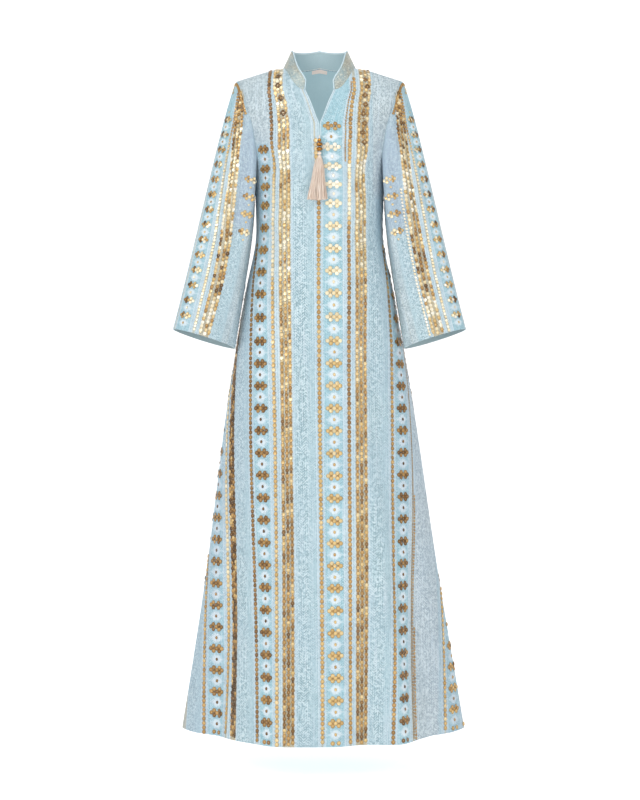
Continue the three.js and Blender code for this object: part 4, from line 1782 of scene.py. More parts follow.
@dataclass(frozen=True)
class Beadwork:
    """Tiny beads sewn all over the cloth, as a group that gives a height and a shade."""

    name: str = "beadwork"
    bead_scale: tuple = (0.34, 0.3)
    patch_scale: tuple = (0.055, 0.02)
    zigzag: float = 9.3
    slant_rate: float = 1.12
    rib_rate: float = 1.42

    def group(self) -> bpy.types.NodeTree:
        """Makes the node group.

        Returns:
            The group, which takes places on the cloth.
        """
        tree = bpy.data.node_groups.new(self.name, "ShaderNodeTree")
        ways = (("Across", "INPUT"), ("Down", "INPUT"), ("Height", "OUTPUT"), ("Shade", "OUTPUT"))
        for name, way in ways:
            tree.interface.new_socket(name, in_out=way, socket_type="NodeSocketFloat")
        nodes = NodeTree(tree)
        given = nodes.add("NodeGroupInput")
        result = nodes.add("NodeGroupOutput")
        across = nodes.times(given.outputs[0], float(BODY_CLOTH.period))
        down = nodes.times(given.outputs[1], float(BODY_CLOTH.flower_pitch))
        near, hue = nodes.cells(self._scaled(nodes, across, down, self.bead_scale), 1.0)
        slant = nodes.plus(nodes.math("PINGPONG", across, self.zigzag), down)
        chevron = nodes.math("SINE", nodes.times(slant, self.slant_rate))
        patches = nodes.noise(self._scaled(nodes, across, down, self.patch_scale), 1.0)
        patchy = nodes.between(patches, 0.35, 0.6, 0.35, 1.0)
        ribs = nodes.math("SINE", nodes.times(across, self.rib_rate))
        loose = nodes.minus(nodes.split(hue)[0], 0.5)
        dots = nodes.times(nodes.times(chevron, patchy), 0.65)
        shade = nodes.plus(nodes.times(loose, 1.9), dots)
        height = nodes.minus(nodes.times(ribs, 0.2), near)
        nodes.feed(result.inputs[0], nodes.plus(height, dots))
        nodes.feed(result.inputs[1], nodes.plus(shade, nodes.times(ribs, 0.34)))
        return tree

    def _scaled(self, nodes: NodeTree, across: Feed, down: Feed, scale: tuple) -> Socket:
        """A place on the cloth, scaled by so much each way."""
        return nodes.plane(nodes.times(across, scale[0]), nodes.times(down, scale[1]))


@dataclass(frozen=True)
class StripedCloth(Finish):
    """Powder-blue cloth in beaded and embroidered stripes.

    It reads the fabric map, and a colour attribute of given shades, among them a painted sheen and
    painted shade.
    """

    name: str = "striped_beaded_cloth"
    plain: tuple = (172, 199, 208)
    flower: tuple = (158, 198, 210)
    pale: tuple = (204, 220, 228)
    edge: tuple = (178, 203, 214)
    under_bands: tuple = (190, 174, 136)
    under_lines: tuple = (190, 186, 160)
    under_thirds: tuple = (186, 184, 162)
    # Colour of the plain parts, with a painted sheen on the shoulders and along the sleeves' tops.
    shoulder: tuple = (190, 202, 206)
    bead_light: tuple = (226, 240, 244)
    bead_dark: tuple = (112, 140, 150)
    white: tuple = (226, 237, 243)
    thread: tuple = (214, 228, 236)
    lavender: tuple = (160, 175, 195)
    shadow: tuple = (138, 164, 174)
    cloud: tuple = (166, 190, 206)

    def paint(self, nodes: NodeTree) -> None:
        """Lays the nodes of the finish.

        Args:
            nodes: The material's nodes.
        """
        place = nodes.add("ShaderNodeSeparateXYZ")
        nodes.feed(place.inputs[0], nodes.add("ShaderNodeUVMap", uv_map="fabric").outputs[0])
        repeats, rows = place.outputs[0], place.outputs[1]
        across, down = nodes.math("FRACT", repeats), nodes.math("FRACT", rows)
        # Pale is partly a painted sheen on the shoulders, and deep is painted shade on the sides.
        tint_and_painted_light = nodes.add("ShaderNodeAttribute", attribute_name="tint_and_painted_light")
        pale, cast, deep = nodes.split(tint_and_painted_light.outputs["Color"])
        beads = nodes.add("ShaderNodeGroup", node_tree=Beadwork().group())
        nodes.feed(beads.inputs[0], repeats)
        nodes.feed(beads.inputs[1], rows)
        height, spread = beads.outputs[0], beads.outputs[1]
        middle = nodes.band(across, 0.69, 0.84, 0.05)
        plain = nodes.math("MAXIMUM", nodes.plus(nodes.times(middle, 0.65), 0.35), pale)
        shade = nodes.times(spread, plain)
        flowers = nodes.minus(nodes.between(rows, -0.2, 0.1), pale)
        fine = nodes.plane(nodes.times(repeats, 55.0), nodes.times(rows, 0.35))
        lines = nodes.between(nodes.noise(fine, 1.0, 1.0), 0.55, 0.7)
        drift = nodes.between(nodes.noise(nodes.object_place(), 7.0), 0.35, 0.65)
        layers = (
            (nodes.between(shade, 0.0, 0.7, 0.0, 0.62), self.bead_light),
            (nodes.between(shade, 0.0, -0.7, 0.0, 0.62), self.bead_dark),
            (nodes.times(self._medallion(nodes, across, down), flowers), self.white),
            (nodes.times(lines, nodes.math("MULTIPLY_ADD", pale, 0.3, 0.45)), self.thread),
            (nodes.times(cast, nodes.between(spread, -0.6, 0.6, 0.75, 0.35)), self.lavender),
            # Painted shade on the sides.
            (nodes.times(deep, 0.5), self.shadow),
            (nodes.times(drift, 0.2), self.cloud),
        )
        # The pale share paints the plain cloth, with a painted sheen on the shoulders.
        colour = nodes.mix(pale, nodes.ramp(across, self._stops()), tone(*self.shoulder))
        for share, shown in layers:
            colour = nodes.mix(share, colour, tone(*shown))
        nodes.coat("Base Color", colour)
        nodes.coat("Roughness", nodes.between(spread, -0.7, 0.7, 0.7, 0.42))
        nodes.coat("Specular IOR Level", 0.4)
        nodes.coat("Normal", nodes.bump(height, 0.6, 0.0007))

    def _stops(self) -> tuple:
        """Works out the ground's colours across one repeat of the stripes.

        Returns:
            Their places and colours.
        """

        def trim(*places: float) -> tuple:
            """A fine line of the edge's colour between two pale ones."""
            return tuple(zip(places, (self.pale, self.edge, self.pale)))

        stops = (
            (0.0, self.under_lines),
            *trim(0.018, 0.03, 0.046),
            (0.06, self.flower),
            (0.3, self.flower),
            *trim(0.325, 0.345, 0.37),
            (0.386, self.under_thirds),
            (0.41, self.under_thirds),
            *trim(0.426, 0.45, 0.472),
            (0.486, self.under_bands),
            (0.634, self.under_bands),
            *trim(0.646, 0.668),
            (0.69, self.plain),
            (0.94, self.plain),
            *trim(0.956, 0.97, 0.984),
            (0.994, self.under_lines),
        )
        return tuple((place, tone(*shown)) for place, shown in stops)

    def _medallion(self, nodes: NodeTree, across: Socket, down: Socket) -> Socket:
        """Draws the soft white medallion between two flowers, with its small tail.

        Args:
            nodes: The material's nodes.
            across: The place across one repeat.
            down: The place down one repeat.

        Returns:
            How much of it there is.
        """
        aside, off = nodes.minus(across, BODY_CLOTH.flower), nodes.minus(down, 0.5)
        dx, dy = nodes.times(aside, 13.0), nodes.times(off, 4.3)
        angle = nodes.math("ARCTAN2", dy, dx)
        scallop = nodes.times(nodes.math("COSINE", nodes.times(angle, 8.0)), 0.06)
        body = nodes.between(nodes.plus(nodes.reach(dx, dy), scallop), 1.22, 0.55)
        far = nodes.reach(nodes.times(aside, 7.6), nodes.times(off, 15.0))
        tail = nodes.between(far, 1.2, 0.4, 0.0, 0.85)
        return nodes.times(nodes.math("MAXIMUM", body, tail), 0.9)


@dataclass(frozen=True)
class PlainCloth(Finish):
    """The plain inside of the cloth, with a faint upright weave."""

    light: tuple = (180, 199, 203)
    dark: tuple = (156, 178, 184)
    glow: float = 0.0
    roughness: float = 0.75
    weave: tuple = (900, 900, 60)

    def paint(self, nodes: NodeTree) -> None:
        """Lays the nodes of the finish.

        Args:
            nodes: The material's nodes.
        """
        weave = nodes.noise(nodes.stretched(self.weave), 1.0, 2.0)
        drift = nodes.between(nodes.noise(nodes.object_place(), 9.0), 0.3, 0.7)
        share = nodes.plus(nodes.times(weave, 0.6), nodes.times(drift, 0.4))
        colour = nodes.mix(share, tone(*self.dark), tone(*self.light))
        nodes.coat("Base Color", colour)
        # Glow is painted light: emission that lifts the inside and the label out of their shade.
        nodes.coat("Emission Color", colour)
        nodes.coat("Emission Strength", self.glow)
        nodes.coat("Roughness", self.roughness)
        nodes.coat("Normal", nodes.bump(weave, 0.35, 0.0004))


@dataclass(frozen=True)
class CollarCloth(Finish):
    """Close grey-beige beading on the collar's outside."""

    name: str = "collar_beading"
    bead_scale: float = 620.0

    def paint(self, nodes: NodeTree) -> None:
        """Lays the nodes of the finish.

        Args:
            nodes: The material's nodes.
        """
        place = nodes.object_place()
        near, hue = nodes.cells(place, self.bead_scale)
        bright, dull, rough = nodes.split(hue)
        drift = nodes.between(nodes.noise(place, 26.0), 0.38, 0.62)
        base = nodes.mix(drift, tone(160, 180, 182), tone(176, 174, 158))
        light = nodes.mix(nodes.between(bright, 0.55, 0.95), base, tone(214, 216, 204))
        dark = nodes.mix(nodes.between(dull, 0.6, 0.95, 0.0, 0.6), light, tone(118, 132, 132))
        nodes.coat("Base Color", dark)
        nodes.coat("Metallic", 0.25)
        nodes.coat("Roughness", nodes.between(rough, 0.0, 1.0, 0.28, 0.6))
        nodes.coat("Normal", nodes.bump(near, 0.5, 0.0007))


@dataclass(frozen=True)
class EdgingCloth(Finish):
    """Pale blue ribbed binding."""

    name: str = "pale_edging"
    rib_scale: float = 900.0

    def paint(self, nodes: NodeTree) -> None:
        """Lays the nodes of the finish.

        Args:
            nodes: The material's nodes.
        """
        rib = nodes.noise(nodes.object_place(), self.rib_scale, 1.0)
        share = nodes.between(rib, 0.35, 0.65)
        nodes.coat("Base Color", nodes.mix(share, tone(186, 212, 222), tone(222, 236, 240)))
        nodes.coat("Roughness", 0.6)
        nodes.coat("Normal", nodes.bump(rib, 0.4, 0.0004))


@dataclass(frozen=True)
class SequinFinish(Finish):
    """Cupped sequins from cream through gold to bronze.

    It reads each sequin's shade, partly painted highlight, the share of the way to its rim, which
    gives a painted shade at the rim and a painted highlight at the centre, and its polish.
    """

    name: str = "gold_sequins"
    stops: tuple = (
        (0.0, (252, 247, 232)),
        (0.2, (242, 228, 190)),
        (0.42, (222, 190, 128)),
        (0.6, (192, 152, 92)),
        (0.8, (142, 106, 62)),
        (1.0, (94, 70, 46)),
    )

    def paint(self, nodes: NodeTree) -> None:
        """Lays the nodes of the finish.

        Args:
            nodes: The material's nodes.
        """
        look = nodes.add("ShaderNodeAttribute", attribute_name="finish")
        shade, out, polish = nodes.split(look.outputs["Color"])
        colour = nodes.ramp(shade, [(place, tone(*shown)) for place, shown in self.stops])
        # Painted shade darkening each sequin's rim, less on cream ones.
        rim = nodes.between(out, 0.66, 1.0, 0.0, 0.6)
        rim = nodes.times(rim, nodes.between(shade, 0.0, 0.5, 0.35, 1.0))
        colour = nodes.mix(rim, colour, tone(150, 118, 74), "MULTIPLY")
        # Painted highlight lightening each sequin's centre.
        core = nodes.between(out, 0.34, 0.0, 0.0, 0.35)
        nodes.coat("Base Color", nodes.mix(core, colour, tone(246, 232, 202)))
        nodes.coat("Metallic", 0.35)
        nodes.coat("Roughness", nodes.between(polish, 0.0, 1.0, 0.22, 0.42))


@dataclass(frozen=True)
class BeadMetal(Finish):
    """Bronze-gold beads."""

    name: str = "bronze_gold_beads"

    def paint(self, nodes: NodeTree) -> None:
        """Lays the nodes of the finish.

        Args:
            nodes: The material's nodes.
        """
        spots = nodes.between(nodes.noise(nodes.object_place(), 420.0, 2.0), 0.4, 0.65)
        nodes.coat("Base Color", nodes.mix(spots, tone(196, 138, 62), tone(112, 72, 34)))
        nodes.coat("Metallic", 0.9)
        nodes.coat("Roughness", nodes.between(spots, 0.0, 1.0, 0.18, 0.4))
        nodes.coat("Normal", nodes.bump(spots, 0.3, 0.0004))


@dataclass(frozen=True)
class Silk(Finish):
    """Beige-pink silk, in streaks whose darker parts are painted shade between threads."""

    name: str = "tassel_silk"
    fibre: tuple = (700, 700, 18)
    stops: tuple = ((0.3, (206, 180, 162)), (0.5, (238, 220, 204)), (0.7, (252, 240, 228)))

    def paint(self, nodes: NodeTree) -> None:
        """Lays the nodes of the finish.

        Args:
            nodes: The material's nodes.
        """
        fibre = nodes.noise(nodes.stretched(self.fibre), 1.0, 2.0)
        stops = [(place, tone(*shown)) for place, shown in self.stops]
        nodes.coat("Base Color", nodes.ramp(fibre, stops))
        nodes.coat("Roughness", 0.42)
        nodes.coat("Sheen Weight", 0.3)
        nodes.coat("Normal", nodes.bump(fibre, 0.3, 0.0003))


@dataclass(frozen=True)
class Paper(Finish):
    """The studio's white paper, which glows a little."""

    name: str = "studio_paper"
    glow: float = 0.5

    def paint(self, nodes: NodeTree) -> None:
        """Lays the nodes of the finish.

        Args:
            nodes: The material's nodes.
        """
        grain = nodes.noise(nodes.object_place(), 3.0)
        nodes.coat("Base Color", nodes.mix(grain, (0.9, 0.9, 0.9, 1), (0.94, 0.94, 0.94, 1)))
        nodes.coat("Roughness", 0.9)
        nodes.coat("Emission Color", (1, 1, 1, 1))
        nodes.coat("Emission Strength", self.glow)


@dataclass
class Collar:
    """The stand collar: its beaded outside, its plain inside and its edging."""

    body: BodyForm
    band: float = 1.4
    gap: float = 0.5
    columns: int = 128
    rows: int = 12
    rises: tuple = (
        (0, 19, 5),
        (0.05, 28, 7),
        (0.12, 32.5, 9),
        (0.5, 36.5, 17),
        (0.75, 36, 11),
        (1, 34.5, 5),
    )

    def neck(self, along: Array) -> Array:
        """The neckline from the left front corner (0) round the back to the right one (2).

        Args:
            along: Shares of the way round, from 0 to 2.

        Returns:
            The points, in millimetres.
        """
        half = np.where(along <= 1, along, 2 - along)
        mirror = np.where(along <= 1, 1, -1)
        front = self.body.neckline(Side.FRONT, np.clip(half * 2, 0, 1))
        back = self.body.neckline(Side.BACK, np.clip(2 - half * 2, 0, 1))
        points = [
            self.body.point(side, mirror * place[0], place[1])
            for side, place in ((Side.FRONT, front), (Side.BACK, back))
        ]
        return np.where((half <= 0.5)[..., None], points[0], points[1])

    def point(self, along: Array, up: Array, inset: float) -> Array:
        """Points of the collar. Up runs from its seam to its top edge.

        Args:
            along: Shares of the way round, from 0 to 2.
            up: Shares of its height.
            inset: How far inside the outer surface they lie.

        Returns:
            The points, in millimetres.
        """
        along, up = np.broadcast_arrays(np.asarray(along, float), np.asarray(up, float))
        half = np.where(along <= 1, along, 2 - along)
        base = self.neck(along)
        outward = unit(base * (1, 1, 0))
        rise = up * curve_through(self.rises, 1)(half) + self.gap
        lean = up * curve_through(self.rises, 2)(half) + inset
        return base - outward * lean[..., None] + np.stack([0 * rise, 0 * rise, rise], -1)

    def build(self, name: str, inset: float, finish: Material) -> bpy.types.Object:
        """Builds one layer of the collar.

        Args:
            name: The layer's name.
            inset: How far its face lies inside the collar's outer surface.
            finish: Its material, on both faces.

        Returns:
            The layer.
        """
        along = np.linspace(0, 2, self.columns + 1)
        up = np.linspace(0, 1, self.rows + 1)[:, None]
        points = self.point(along, up, inset)
        step = 0.004
        across = self.point(np.clip(along + step, 0, 2), up, inset)
        across = across - self.point(np.clip(along - step, 0, 2), up, inset)
        rise = self.point(along, up + step, inset) - self.point(along, up - step, inset)
        normals = towards(unit(np.cross(across, rise)), unit(points * (1, 1, 0)))
        fabric = np.stack(np.broadcast_arrays(along * 1.2, 0.8 * up), -1)
        patch = Patch(points, normals, fabric, np.zeros(points.shape))
        return Shell(name, (patch,), self.band).build(finish, finish)


@dataclass
class Binding:
    """A rounded edging sewn along an edge."""

    width: float = 2.6
    sides: int = 12
    wall: float = 1.8

    def build(
        self, name: str, points: Array, outs: Array, normals: Array, finish: Material
    ) -> bpy.types.Object:
        """Builds the edging.

        Args:
            name: The piece's name.
            points: Places along the edge.
            outs: The way out past the edge at each place.
            normals: The cloth's normal at each place.
            finish: Its material.

        Returns:
            The edging.
        """
        centres = points + outs * (SEAM_GAP + self.width / 2) - normals * self.wall / 2
        angle = np.linspace(0, 2 * math.pi, self.sides, endpoint=False)[:, None]
        radius = self.width / 2
        rings = [
            centre + radius * (np.cos(angle) * out + np.sin(angle) * normal)
            for centre, out, normal in zip(centres, outs, normals)
        ]
        n, last = self.sides, (len(rings) - 1) * self.sides
        faces = [tuple(reversed(range(n))), tuple(last + k for k in range(n))]
        for row in range(0, last, n):
            for k in range(n):
                a, b = row + k, row + (k + 1) % n
                faces.append((a, b, b + n, a + n))
        mesh = bpy.data.meshes.new(name)
        mesh.from_pydata((np.concatenate(rings) * MM).tolist(), [], faces)
        piece = add_piece(name, mesh, finish)
        face_outwards(piece)
        mesh.shade_smooth()
        mesh.set_sharp_from_angle(angle=math.radians(50))
        return piece


def face_outwards(piece: bpy.types.Object) -> None:
    """Turns the faces of a closed piece outwards.

    Args:
        piece: The closed piece.
    """
    bpy.ops.object.select_all(action="DESELECT")
    piece.select_set(True)
    bpy.context.view_layer.objects.active = piece
    bpy.ops.object.mode_set(mode="EDIT")
    bpy.ops.mesh.select_all(action="SELECT")
    bpy.ops.mesh.normals_make_consistent(inside=False)
    bpy.ops.object.mode_set(mode="OBJECT")
    piece.select_set(False)


@dataclass
class Tassel:
    """The cord, beads, knot and silk threads under the slit."""

    bead_y: float = -120.6
    cord_start: tuple = (0, -111.35, -162)
    cord_bend: float = -168.9
    cord_foot: float = -197.3
    cord_radius: float = 0.9
    beads: tuple = ("bead_round", "bead_upper_rondelle", "bead_lower_rondelle")
    threads: int = 150
    seed: int = 11
    skirt_top: float = -205.3
    thread_length: float = 97.5
    ragged: float = 3.0
    domed: float = 1.5
    sway: float = 0.7
    taper: tuple = (0.42, 0.85)
    skirt: tuple = (
        (0, 2.2, 2.2, 0.6, -120.6),
        (9, 7, 4.2, -0.6, -121),
        (28, 11.5, 5, -1.8, -122.3),
        (52, 14.5, 5.8, -2.6, -123.6),
        (74, 18.5, 6.8, -3.4, -124.2),
        (96, 22.6, 8, -4.2, -124.4),
    )

    def cord_line(self) -> Array:
        """The cord's centre line: off the slit's foot, round a bend and straight down.

        Returns:
            Its points, in millimetres.
        """
        start = np.array(self.cord_start, float)
        corner = np.array((0, self.bead_y, start[2] - self.cord_radius))
        bend = np.array((0, self.bead_y, self.cord_bend))
        t = np.linspace(0, 1, 13)[:, None]
        curve = start * (1 - t) ** 2 + 2 * corner * t * (1 - t) + bend * t * t
        down = np.linspace(self.cord_bend, self.cord_foot, 12)[1:]
        straight = np.stack([0 * down, 0 * down + self.bead_y, down], -1)
        return np.concatenate([curve, straight])

    def declare_cord(self, cord: bpy.types.Object) -> None:
        """Logs the length of the cord's centre line.

        Args:
            cord: The cord, a CAD node.
        """
        line = self.cord_line() * MM
        length = float(np.linalg.norm(np.diff(line, axis=0), axis=1).sum())
        LOG.info("%s: %.1f mm of cord", cord.name, length / MM)

    def skirt_cloth(self, finish: Material) -> bpy.types.Object:
        """Builds the threads, each a thin three-sided bar from the knot to its cut end.

        Args:
            finish: Their material.

        Returns:
            The threads, as one piece.
        """
        chance = random.Random(self.seed)
        curves = [curve_through(self.skirt, k) for k in range(1, 5)]
        bars = []
        for i in range(self.threads):
            angle = 2 * math.pi * (i * 0.618 % 1)
            share = math.sqrt((i + 0.5) / self.threads)
            end = self.thread_length - chance.uniform(0, self.ragged) - self.domed * share
            wave = chance.uniform(-self.sway, self.sway)
            drops = np.linspace(0, end, 9)
            wide, deep, x, y = (curve(drops) for curve in curves)
            aside = wide * share * math.cos(angle) + wave * np.sin(drops / 16 + i)
            forward = deep * share * math.sin(angle)
            centre = np.stack([x + aside, y + forward, self.skirt_top - drops], -1)
            radius = blend(*self.taper, drops / self.skirt[-1][0])[:, None, None]
            ring = np.array([0, 2.094, 4.189]) + chance.random() * 6
            round_it = np.stack([np.cos(ring), np.sin(ring), 0 * ring], -1)[None]
            bars.append((centre[:, None] + radius * round_it).reshape(-1, 3))
        faces = []
        for i, bar in enumerate(bars):
            start, last = i * len(bar), (i + 1) * len(bar) - 1
            for row in range(start, last - 3, 3):
                for k in range(3):
                    a, b = row + k, row + (k + 1) % 3
                    faces.append((a + 3, b + 3, b, a))
            faces += [(start, start + 1, start + 2), (last, last - 1, last - 2)]
        mesh = bpy.data.meshes.new("tassel_threads")
        mesh.from_pydata((np.concatenate(bars) * MM).tolist(), [], faces)
        mesh.shade_smooth()
        mesh.set_sharp_from_angle(angle=math.radians(75))
        return add_piece("tassel_threads", mesh, finish)


@dataclass
class Studio:
    """Floor, backdrop, light and camera, in metres."""

    floor: float = -1.53
    half_width: float = 9.0
    near: float = -9.0
    far: float = 4.5
    bend: float = 2.5
    height: float = 9.0
    glow: float = 0.5
    aside: float = 0.0011
    lens: float = 54.545
    sensor: float = 24
    lamps: tuple = (
        ("key", (-2.2, -3.2, 1.6), (0, 0, -0.6), 2.4, 58),
        ("fill", (2.6, -3.4, 0.6), (0, 0, -0.8), 2.6, 30),
        ("top", (0, -0.6, 2.4), (0, 0, -0.6), 2.0, 22),
    )

    def build(self) -> None:
        """Builds the whole studio."""
        scene = bpy.context.scene
        scene.view_settings.view_transform = "Standard"
        self._backdrop()
        world = bpy.data.worlds.new("studio_world")
        world.use_nodes = True
        sky = world.node_tree.nodes["Background"].inputs
        sky["Color"].default_value = (1, 1, 1, 1)
        sky["Strength"].default_value = self.glow
        scene.world = world
        for lamp in self.lamps:
            self._lamp(*lamp)
        camera = bpy.data.cameras.new("photo_view")
        camera.sensor_fit = "VERTICAL"
        camera.sensor_height = self.sensor
        camera.lens = self.lens
        view = bpy.data.objects.new("photo_view", camera)
        view.location = (self.aside, -CAMERA_AWAY * MM, CAMERA_LEVEL * MM)
        view.rotation_euler = (math.pi / 2, 0, 0)
        scene.collection.objects.link(view)
        scene.camera = view

    def _backdrop(self) -> None:
        """Builds the floor, which bends up into the backdrop."""
        rows = [(self.near, self.floor), (self.far, self.floor)]
        for k in range(1, 9):
            angle = math.radians(90 * k / 8)
            back = self.far + self.bend * math.sin(angle)
            rows.append((back, self.floor + self.bend * (1 - math.cos(angle))))
        rows.append((self.far + self.bend, self.height))
        vertices = [(x, y, z) for y, z in rows for x in (-self.half_width, self.half_width)]
        faces = [(2 * i, 2 * i + 1, 2 * i + 3, 2 * i + 2) for i in range(len(rows) - 1)]
        mesh = bpy.data.meshes.new("studio_floor")
        mesh.from_pydata(vertices, [], faces)
        mesh.shade_smooth()
        add_piece("studio_floor", mesh, Paper().make())

    def _lamp(self, name: str, place: tuple, target: tuple, size: float, power: float) -> None:
        """Adds one soft square lamp.

        Args:
            name: Its name.
            place: Where it is.
            target: What it faces.
            size: Its side.
            power: Its power in watts.
        """
        data = bpy.data.lights.new(name, "AREA")
        data.size = size
        data.energy = power
        lamp = bpy.data.objects.new(name, data)
        lamp.location = place
        way = np.array(target, float) - np.array(place, float)
        flat = math.hypot(way[0], way[1])
        lamp.rotation_euler = (math.atan2(flat, -way[2]), 0, math.atan2(-way[0], way[1]))
        bpy.context.scene.collection.objects.link(lamp)


class Dresser:
    """Dresses the whole jalabiya, piece by piece."""

    DARK_RIGHT = (-67, (-2.7, -2.1, -1.42, -0.68), 3.6, 0.94)
    DARK_LEFT = (86, tuple(-2.5 + 0.46 * k for k in range(8)), 3.2, 0.82)
    CUT_EDGE = 5.5
    PATCH_ROWS = (3.6, 4.7, 5.8, 6.93)
    PATCH_ACROSS = {1: 103, -1: 106}
    HEAD_TURNS = (2, 7, 10, 16)
    HEAD_ALONGS = (0.06, 0.11, 0.07, 0.13)

    def __init__(self) -> None:
        """Makes the finishes."""
        self.body = BodyForm()
        self.striped = StripedCloth().make()
        # The glow of the insides and the label is painted light.
        self.inside = PlainCloth("cloth_inside", glow=0.42).make()
        self.sleeve_inside = PlainCloth("sleeve_inside").make()
        self.collar_inside = PlainCloth("collar_inside", glow=0.16).make()
        self.collar_cloth = CollarCloth().make()
        self.edging = EdgingCloth().make()
        self.label = PlainCloth("label_tape", (232, 210, 200), (212, 190, 180), 0.45).make()
        self.sequins = SequinFinish().make()
        self.metal = BeadMetal().make()
        self.silk = Silk().make()

    def settle(self, piece: bpy.types.Object, slot: Slot, *nodes: str) -> None:
        """Hangs a finished piece on the garment.

        Args:
            piece: The piece.
            slot: Not used.
            nodes: CAD nodes that it stands for.
        """
        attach(piece, "root")
        if nodes:
            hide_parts(*nodes)
        triangles = sum(len(face.vertices) - 2 for face in piece.data.polygons)
        LOG.info("%s: %d triangles", piece.name, triangles)

    def panels(self) -> None:
        """Builds the front and back, with their sequins."""
        makers = BodyPanels(self.body)
        for side, seed in ((Side.FRONT, 3), (Side.BACK, 5)):
            piece, cloth = makers.build(side, self.striped, self.inside)
            self.settle(piece, Slot.STRIPED, f"{side.value}_panel")
            self.body_sequins(makers, side, cloth, seed)

    def body_spots(self, work: SequinWork, side: Side) -> list[Spot]:
        """Lays out the sequins of one panel on its cloth.

        Args:
            work: The panel's sequins.
            side: Front or back.

        Returns:
            Their places.
        """
        spots = work.repeat(-4, 4, -4.3, 28.6)
        if side is Side.BACK:
            return spots
        for (middle, rows, size, shade), zigzag in ((self.DARK_RIGHT, 0), (self.DARK_LEFT, 4)):
            for k, row in enumerate(rows):
                across = middle + zigzag * (k % 2)
                spots = [spot for spot in spots if spot.away(across, row) > 2.2 * size]
                spots += work.cluster(across, row, size, shade)
                spots += work.dotted(across, [row], 2.0, 2.0, 0.3)
        spots = [spot for spot in spots if -335 < spot.across < 208 or spot.across > 296]
        for across, rows, wide, tall, shade in FRONT_LINES:
            spots += work.dotted(across, np.arange(*rows), wide, tall, shade)
        return spots

    def body_sequins(self, makers: BodyPanels, side: Side, cloth: PanelCloth, seed: int) -> None:
        """Sews the sequins of one panel.

        Args:
            makers: The panels' form.
            side: Front or back.
            cloth: How the panel's cloth lies.
            seed: Start of the sequins' chance.
        """
        work = SequinWork(f"{side.value}_sequins", BODY_CLOTH, FRONT_SHADES, seed)
        spots = self.body_spots(work, side)
        across = np.array([spot.across for spot in spots])
        down = np.array([spot.down for spot in spots])
        turn, level, found = cloth.find(across, down)
        found &= makers.covers(side, turn, level, self.CUT_EDGE)
        points, normals = makers.surface(side, turn, level)
        beside = makers.surface(side, turn + 0.2, level)[0]
        found &= self.body_shown(side, across, down, points)
        ground = (points, normals, beside - points)
        self.settle(work.sew(spots, found, ground, self.sequins), Slot.SEQUINS)

    def body_shown(self, side: Side, across: Array, down: Array, points: Array) -> Array:
        """Which stripes have sequins: the shoulders beside the bands are plain.

        Args:
            side: Front or back.
            across: Millimetres across the cloth.
            down: Repeats down the cloth.
            points: The same places on the panel.

        Returns:
            True where there are sequins.
        """
        x, z = points[:, 0], points[:, 2]
        outer = np.where(across < 0, across < -96, across > 128)
        start = np.where(across < 0, np.where(across < -140, -385, -172), -385)
        if side is Side.BACK:
            start = np.full_like(z, -200)
            outer = np.abs(x) > 104
        slit = (side is Side.FRONT) & (np.abs(across) < 12) & (z > -172)
        bare = (side is Side.FRONT) & (across > 14) & (across < 46) & (down < -0.3)
        return ~(outer & (z > start)) & ~slit & ~bare

    def sleeves(self) -> None:
        """Builds the two sleeves, with their sequins."""
        maker = Sleeves(self.body)
        for mirror, name, seed in ((1, "left", 7), (-1, "right", 9)):
            piece = maker.build(mirror, self.striped, self.sleeve_inside)
            self.settle(piece, Slot.STRIPED, f"sleeve_{name}")
            self.sleeve_sequins(maker, mirror, name, seed)

    def sleeve_sequins(self, maker: Sleeves, mirror: int, name: str, seed: int) -> None:
        """Sews the sequins of one sleeve.

        Args:
            maker: The sleeves' form.
            mirror: 1 for the left sleeve, -1 for the right one.
            name: Which sleeve it is.
            seed: Start of the sequins' chance.
        """
        cloth = SleeveCloth(maker, mirror)
        work = SequinWork(f"sleeve_{name}_sequins", SLEEVE_CLOTH, SLEEVE_SHADES, seed)
        spots = work.repeat(-2, 1, -2.6, 16)
        for row in self.PATCH_ROWS:
            spots += work.flower(1, self.PATCH_ACROSS[mirror], row)
        if mirror > 0:
            spots += work.dotted(84, np.arange(4.4, 15.8, 0.21), 2.6, 3.4, 0.08)
        across = np.array([spot.across for spot in spots])
        down = np.array([spot.down for spot in spots])
        turn, along, found = cloth.find(across, down)
        found &= ~((np.abs(across) < 2) | ((np.abs(across - 23) < 17) & (down < -0.7)))
        found &= ~((across > 118) & (turn > 0))
        seam = np.linspace(6, 84, 26)
        turn = np.concatenate([turn, seam, self.HEAD_TURNS])
        along = np.concatenate([along, 0.052 - 0.0001 * seam, self.HEAD_ALONGS])
        spots += work.dotted(0, seam, 2.9, 3.3, 0.6) + work.dotted(0, range(4), 3.6, 3.6, 0.4)
        points, normals = maker.surface(turn, along)
        beside = maker.surface(turn + 0.5, along)[0]
        ring = maker.ring(np.linspace(0, 359, 180))
        apart = np.linalg.norm(points[:, None] - ring[None], axis=-1).min(1)
        found = np.concatenate([found & (apart[: len(found)] > 5), apart[len(found) :] > 2.4])
        found &= np.abs(turn) < 174
        flip = np.array((mirror, 1, 1))
        ground = (points * flip, normals * flip, (beside - points) * flip)
        self.settle(work.sew(spots, found, ground, self.sequins), Slot.SEQUINS)

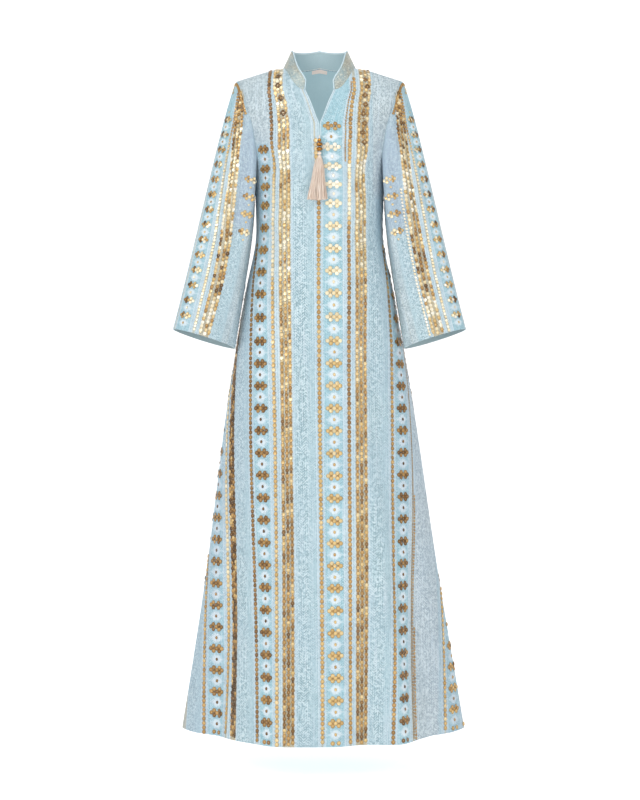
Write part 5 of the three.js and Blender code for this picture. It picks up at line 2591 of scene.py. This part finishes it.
    def collar(self) -> None:
        """Builds the collar's two layers and its edging, and the slit's edgings."""
        collar = Collar(self.body)
        outer = collar.build("collar_outer_cloth", 0, self.collar_cloth)
        self.settle(outer, Slot.COLLAR, "collar_outer")
        inner = collar.build("collar_inner_cloth", collar.band + collar.gap, self.collar_inside)
        self.settle(inner, Slot.PLAIN, "collar_inner")
        middle = collar.band + collar.gap / 2 - Binding.wall / 2
        ends = np.linspace(0, 1, 8, endpoint=False)
        along = np.concatenate([0 * ends, np.linspace(0, 2, 97), 0 * ends + 2])
        up = np.concatenate([ends, np.ones(97), ends[::-1]])
        points = collar.point(along, up, middle)
        around = unit(np.gradient(points, axis=0))
        normals = unit(points * (1, 1, 0))
        normals = unit(normals - around * (normals * around).sum(-1, keepdims=True))
        outs = unit(np.cross(normals, around))
        edging = Binding().build("collar_edging_band", points, outs, normals, self.edging)
        self.settle(edging, Slot.EDGING, "collar_edging")
        self.slit_edgings()

    def slit_edgings(self) -> None:
        """Builds the edgings of the slit's two sides."""
        body = self.body
        level = np.linspace(-172, -59, 48)
        turn = body.turn_of(body.curves["slit"](level), level)
        for mirror, name in ((1, "left"), (-1, "right")):
            points = body.point(Side.FRONT, mirror * turn, level)
            normals = body.normal(Side.FRONT, mirror * turn, level)
            around = unit(np.gradient(points, axis=0))
            outs = unit(np.cross(around, normals))
            outs = outs * np.where(outs[:, :1] * mirror > 0, -1, 1)
            band = Binding().build(f"slit_edging_{name}_band", points, outs, normals, self.edging)
            self.settle(band, Slot.EDGING, f"slit_edging_{name}")

    def trims(self, nodes: dict[str, bpy.types.Object]) -> None:
        """Dresses the label, cord, beads and tassel.

        Args:
            nodes: The CAD nodes by name.
        """
        finishes = {"neck_label": self.label, "tassel_cord": self.silk, "tassel_head": self.silk}
        finishes.update((name, self.metal) for name in Tassel.beads)
        for name, finish in finishes.items():
            nodes[name].data.materials.clear()
            nodes[name].data.materials.append(finish)
        tassel = Tassel()
        self.settle(tassel.skirt_cloth(self.silk), Slot.SILK, "tassel_skirt")
        carried = [nodes[name] for name in (*tassel.beads, "tassel_head")]
        tassel.declare_cord(nodes["tassel_cord"])


def main() -> None:
    """Builds the looks and reports each piece."""
    logging.basicConfig(level=logging.INFO, format="%(name)s: %(message)s")
    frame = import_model()
    dresser = Dresser()
    dresser.panels()
    dresser.sleeves()
    dresser.collar()
    dresser.trims(frame["nodes"])
    Studio().build()


if __name__ == "__main__":
    main()
